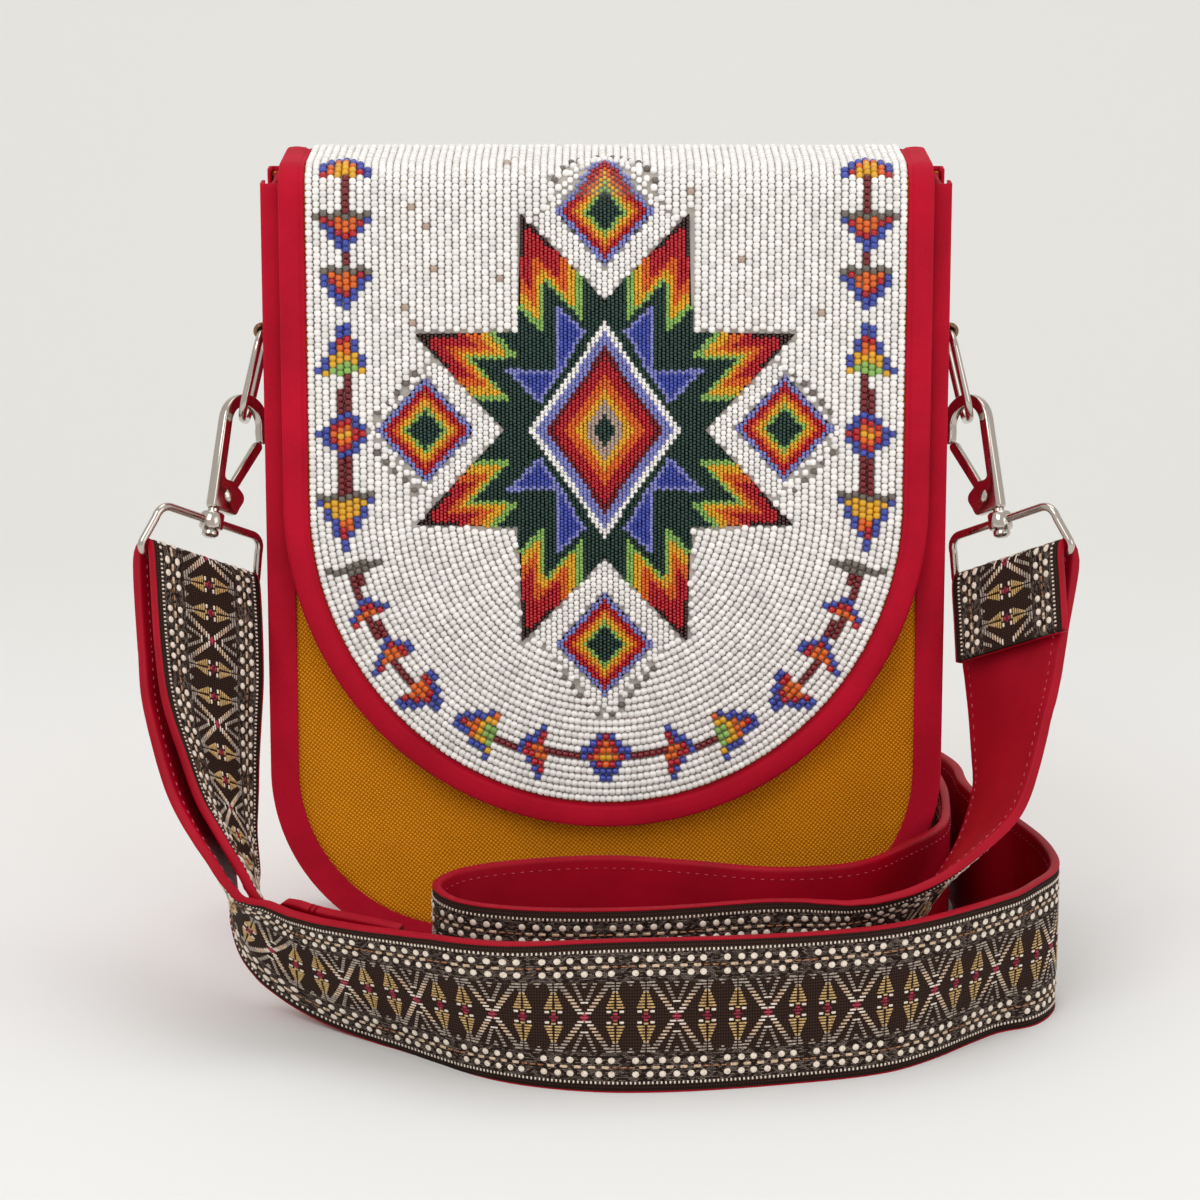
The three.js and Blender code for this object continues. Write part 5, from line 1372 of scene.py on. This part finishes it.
def rounded_loop(width, height, radius, top_width=None, top_radius=None, steps=8):
    """A closed rounded rectangle in x and z, which may be narrower at its top."""
    w, h, tw = width / 2, height / 2, (top_width or width) / 2
    tr = top_radius or radius
    corners = (
        ((w - radius, -h + radius), radius, -90), ((tw - tr, h - tr), tr, 0),
        ((-tw + tr, h - tr), tr, 90), ((-w + radius, -h + radius), radius, 180),
    )
    return np.vstack([arc(c, r, start, start + 90, steps) for c, r, start in corners])


def build_ring(side, label):
    """A wire link hanging in its tab: a rounded oblong path with a round section."""
    turn, place = ring_place(side)
    path = even(rounded_loop(RING_WIDTH, RING_HEIGHT, RING_CORNER + 1.5), 96, closed=True)
    path = np.stack([np.zeros(96), path[:, 0], path[:, 1] - RING_HEIGHT / 2], -1)
    part = placed(tube(path, RING_WIRE / 2, (1, 0, 0), closed=True), turn, place)
    add_piece(f"link_{label}", *part, "nickel", body=f"ring_{label}", replaces=(f"ring_{label}",))


def hook_outline():
    """The die-cast frame's outline, away from the pouch as +x: leg, arch, nose and base."""
    half, arch = HOOK_BAR / 2, HOOK_MOUTH / 2
    arch_z = HOOK_HEIGHT - arch - half
    centre = (-arch, arch_z)
    return np.vstack([
        [(half + 0.3, 1.0)], arc(centre, arch + half, 0, 180, 28),
        arc((-HOOK_MOUTH - 0.2, arch_z - 2.4), half - 0.5, 190, 350, 8),
        arc(centre, arch - half, 180, 0, 24),
        arc((-half - 1.2, 10 + 1.2), 1.2, 0, -90, 4), [(-half - 3.6, 10.0)],
        arc((-8.2, 5.4), 2.6, 120, 200, 5),
        [(-9.4, 2.2)], arc((-7.6, 1.4), 1.4, 200, 270, 4), arc((half - 1.0, 1.2), 1.2, 270, 330, 3),
    ])


def build_hook(side, label):
    """Frame, gate, rivet and post of one clip hook, each from its own profile."""
    turn, place = hook_place(side)
    outline = mirrored(np.insert(hook_outline(), 1, 0, axis=1), side)[:, [0, 2]]
    frame_part = placed(plate(outline, HOOK_THICKNESS, 0.95, 4), turn, place)
    add_piece(f"clip_frame_{label}", *frame_part, "nickel", body=f"hook_{label}",
              replaces=(f"hook_frame_{label}",), sharp=40)
    px, pz = GATE_PIVOT
    arch_z = HOOK_HEIGHT - HOOK_MOUTH / 2 - HOOK_BAR / 2
    tip = np.array([-HOOK_MOUTH + 0.6, arch_z - 3.6])
    along = unit(tip - np.array(GATE_PIVOT))
    across = np.array([-along[1], along[0]])
    length = np.linalg.norm(tip - np.array(GATE_PIVOT))
    half = GATE_WIDTH / 2
    local = np.vstack([
        arc((0, 0), 2.85, 215, 145, 8), [(4.2, half)],
        arc((length - half, 0), half, 90, -90, 8), [(4.2, -half)],
    ])
    outline = np.array(GATE_PIVOT) + local[:, :1] * along + local[:, 1:] * across
    points, faces = plate(mirrored(np.insert(outline, 1, 0, axis=1), side)[:, [0, 2]], 2.5, 0.8, 4)
    slim = np.clip((np.linalg.norm(points[..., [0, 2]] - [side * px, pz], axis=-1) - 3.2) / 3, 0, 1)
    points[..., 1] *= (GATE_THICKNESS / 2.5) + (1 - GATE_THICKNESS / 2.5) * slim
    part = placed((points, faces), turn, place)
    add_piece(f"clip_gate_{label}", *part, "nickel", body=f"gate_{label}",
              replaces=(f"gate_{label}",), sharp=40)
    reach = HOOK_THICKNESS / 2
    profile = [(0, -reach - 0.7), (1.4, -reach - 0.65), (2.1, -reach - 0.3), (2.2, -reach), (1.6, -reach),
               (1.6, reach), (2.2, reach), (2.1, reach + 0.3), (1.4, reach + 0.65), (0, reach + 0.7)]
    points, faces = lathe(profile, 20)
    points = points[..., [0, 2, 1]] + np.array([side * px, 0, pz])
    part = placed((points, faces), turn, place)
    add_piece(f"clip_rivet_{label}", *part, "nickel", body=f"hook_{label}", replaces=(f"gate_rivet_{label}",),
              sharp=40)
    low = -EYE_GAP - EYE_HEIGHT - CLEARANCE
    profile = [(0, low - 2.2), (1.7, low - 2.1), (2.5, low - 1.5), (2.6, low - 0.5), (2.3, low), (1.7, low),
               (1.7, 0.05), (0, 0.05)]
    part = placed(lathe(profile, 24), turn, place)
    add_piece(f"clip_post_{label}", *part, "nickel", body=f"hook_{label}", replaces=(f"swivel_post_{label}",),
              sharp=40)


def build_loop(side, label):
    """The strap's wire loop, flared and tilted back, with a barrel eye on its upper bar."""
    turn, place = hook_place(side)
    path = even(rounded_loop(LOOP_WIDTH, LOOP_HEIGHT, 2.6, LOOP_TOP_WIDTH, 4.4), 160, closed=True)
    path = np.stack([path[:, 0], np.zeros(160), path[:, 1] - LOOP_HEIGHT / 2], -1)
    tilt = math.radians(LOOP_TILT)
    c, s = math.cos(tilt), math.sin(tilt)
    path = path @ np.array([[1, 0, 0], [0, c, -s], [0, s, c]]).T
    bar = -EYE_GAP - EYE_HEIGHT / 2
    path[:, 2] += bar
    wire = tube(path, LOOP_WIRE / 2, np.array([0, c, s]), closed=True)
    h = EYE_HEIGHT / 2
    eye = lathe([(2.0, h), (3.2, h), (3.6, h - 0.5), (3.6, -h + 0.5), (3.2, -h), (2.0, -h)], 28)
    eye_points = eye[0] + np.array([0, 0, bar])
    eye_faces = [grid_faces(6, 28, True, True)]
    points, faces = joined((wire, (eye_points, eye_faces)))
    add_piece(f"loop_{label}", points @ turn.T + place, faces, "nickel",
              replaces=(f"strap_loop_{label}",), sharp=50)


def build_side_tab(side, label):
    """A woven tape round the link's upper bar, its two ends sewn flat on the gusset."""
    face = BODY_WIDTH / 2 - GUSSET_INSET + 0.2
    x, z = RING_TOP[0], RING_TOP[2]
    t, inner = TAB_THICKNESS, RING_WIRE / 2 + CLEARANCE
    top = z + inner + TAB_SEWN
    section = np.vstack([
        [(face, z - inner - t)], arc((x, z), inner + t, -90, 90, 12), [(face + t, z + inner + t + 0.4)],
        [(face + t + 0.15, z + inner + t + 6)], [(face + t, top)], [(face, top)],
        [(face, z + inner + 0.6)], arc((x, z), inner, 90, -90, 12), [(face, z - inner)],
    ])
    y = np.linspace(-TAB_WIDTH / 2, TAB_WIDTH / 2, 24)[:, None]
    xx = np.broadcast_to(section[:, 0][None], (24, len(section)))
    zz = np.broadcast_to(section[:, 1][None], (24, len(section)))
    points = np.stack([side * xx, np.broadcast_to(y, xx.shape), zz], -1)
    tip = turned(0, -RING_TIP, 0)
    centre = np.array([0, 0, z])
    points = (points - centre) @ tip.T + centre
    add_piece(f"woven_tab_{label}", points, swept(points), "tab", replaces=(f"side_tab_{label}",))


# The stage

def build_stage():
    """A paper sweep: flat floor, a wide curve and an upright back, with large soft lamps round it."""
    settings = bpy.context.scene.bag_stage
    reach, radius = 450.0, 1200.0
    turn = np.linspace(0, math.pi / 2, 40)[1:]
    floor = np.stack([np.linspace(-2600, reach, 20), np.zeros(20)], -1)
    curve = np.stack([reach + radius * np.sin(turn), radius * (1 - np.cos(turn))], -1)
    wall = np.array([(reach + radius, z) for z in np.linspace(radius + 50, 3200, 12)])
    line = np.vstack([floor, curve, wall])
    x = np.linspace(-2600, 2600, 30)
    xx, yy = np.meshgrid(x, line[:, 0])
    zz = np.broadcast_to(line[:, 1][:, None], xx.shape)
    points = np.stack([xx, yy, zz], -1).reshape(-1, 3)
    faces = grid_faces(len(line), 30)
    add_piece("studio_sweep", points, [faces[:, ::-1]], "backdrop", body=None)
    world = bpy.data.worlds.new("studio_world")
    world.use_nodes = True
    tree = world.node_tree
    background = tree.nodes["Background"]
    background.inputs["Color"].default_value = linear("#F2F0EE")
    background.inputs["Strength"].default_value = settings.world_level
    bpy.context.scene.world = world
    lamps = (
        ("key", (-0.9, -1.5, 1.9), 1.3, settings.key_power),
        ("fill", (1.5, -1.3, 0.9), 1.2, settings.fill_power),
        ("top", (0.1, 0.3, 2.0), 1.4, settings.top_power),
    )
    for name, place, size, power in lamps:
        lamp = bpy.data.lights.new(name, "AREA")
        lamp.energy = power
        lamp.size = size
        holder = bpy.data.objects.new(name, lamp)
        holder.location = place
        aim = np.array([0, -0.03, 0.11]) - np.array(place)
        holder.rotation_euler = (math.acos(-aim[2] / np.linalg.norm(aim)), 0, math.atan2(-aim[0], aim[1]))
        bpy.context.scene.collection.objects.link(holder)


def build_camera():
    """The photograph's view: straight on from the front, pitched fifteen degrees down, long lens."""
    camera = bpy.data.cameras.new("view")
    camera.lens = 120.0
    camera.sensor_width = 36.0
    camera.clip_start = 0.05
    camera.clip_end = 20.0
    holder = bpy.data.objects.new("view", camera)
    holder.location = CAMERA_PLACE
    holder.rotation_euler = (math.radians(CAMERA_TURN), 0, 0)
    bpy.context.scene.collection.objects.link(holder)
    bpy.context.scene.camera = holder
    bpy.context.scene.view_settings.view_transform = "Standard"


# The add-on's classes

class BagStageSettings(bpy.types.PropertyGroup):
    """Lamp levels that a user may change."""
    world_level: bpy.props.FloatProperty(
        name="World level", description="How bright the surrounding room is", default=0.75, min=0.0)
    key_power: bpy.props.FloatProperty(
        name="Key lamp", description="Power of the large lamp at the left front",
        default=16.0, min=0.0, unit="POWER")
    fill_power: bpy.props.FloatProperty(
        name="Fill lamp", description="Power of the lamp at the right front",
        default=6.0, min=0.0, unit="POWER")
    top_power: bpy.props.FloatProperty(
        name="Top lamp", description="Power of the lamp overhead",
        default=9.0, min=0.0, unit="POWER")


class BAG_OT_stage(bpy.types.Operator):
    """Make the backdrop, lamps and camera"""
    bl_idname = "bag.stage"
    bl_label = "Stage and camera"

    def execute(self, context):
        build_camera()
        build_stage()
        return {"FINISHED"}


class BAG_OT_pouch(bpy.types.Operator):
    """Make the canvas panels, gusset and seam bindings"""
    bl_idname = "bag.pouch"
    bl_label = "Pouch"

    def execute(self, context):
        build_panels()
        build_gusset()
        build_body_bindings()
        build_mouth_hem()
        return {"FINISHED"}


class BAG_OT_flap(bpy.types.Operator):
    """Make the flap's cloth and its binding"""
    bl_idname = "bag.flap"
    bl_label = "Flap"

    def execute(self, context):
        build_flap_cloth()
        build_flap_binding()
        return {"FINISHED"}


class BAG_OT_beads(bpy.types.Operator):
    """Make every seed bead, one piece for each colour"""
    bl_idname = "bag.beads"
    bl_label = "Beadwork"

    def execute(self, context):
        build_yarn_and_shade_slabs()
        build_beads()
        return {"FINISHED"}


class BAG_OT_hardware(bpy.types.Operator):
    """Make the tabs, links, clip hooks and strap loops"""
    bl_idname = "bag.hardware"
    bl_label = "Hooks and rings"

    def execute(self, context):
        for side, label in ((-1, "left"), (1, "right")):
            build_side_tab(side, label)
            build_ring(side, label)
            build_hook(side, label)
            build_loop(side, label)
        return {"FINISHED"}


class BAG_OT_strap(bpy.types.Operator):
    """Make the woven strap, its lining and stitches"""
    bl_idname = "bag.strap"
    bl_label = "Strap"

    def execute(self, context):
        build_strap()
        return {"FINISHED"}


class BAG_PT_panel(bpy.types.Panel):
    """Lists the bag's pieces in the sidebar"""
    bl_label = "Beaded Bag"
    bl_idname = "BAG_PT_panel"
    bl_space_type = "VIEW_3D"
    bl_region_type = "UI"
    bl_category = "Bag"

    def draw(self, context):
        layout = self.layout
        for operator in OPERATORS:
            layout.operator(operator.bl_idname)
        for name in ("world_level", "key_power", "fill_power", "top_power"):
            layout.prop(context.scene.bag_stage, name)


OPERATORS = (BAG_OT_stage, BAG_OT_strap, BAG_OT_pouch, BAG_OT_flap, BAG_OT_beads, BAG_OT_hardware)
CLASSES = (BagStageSettings, *OPERATORS, BAG_PT_panel)


def register():
    """Adds the classes and the stage's settings to Blender."""
    for cls in CLASSES:
        bpy.utils.register_class(cls)
    bpy.types.Scene.bag_stage = bpy.props.PointerProperty(type=BagStageSettings)


def unregister():
    """Takes out what register added."""
    del bpy.types.Scene.bag_stage
    for cls in reversed(CLASSES):
        bpy.utils.unregister_class(cls)


def main():
    """Builds everything, one operator after another."""
    register()
    bpy.ops.bag.stage()
    bpy.ops.bag.strap()
    bpy.ops.bag.pouch()
    bpy.ops.bag.flap()
    bpy.ops.bag.beads()
    bpy.ops.bag.hardware()


if __name__ == "__main__":
    main()
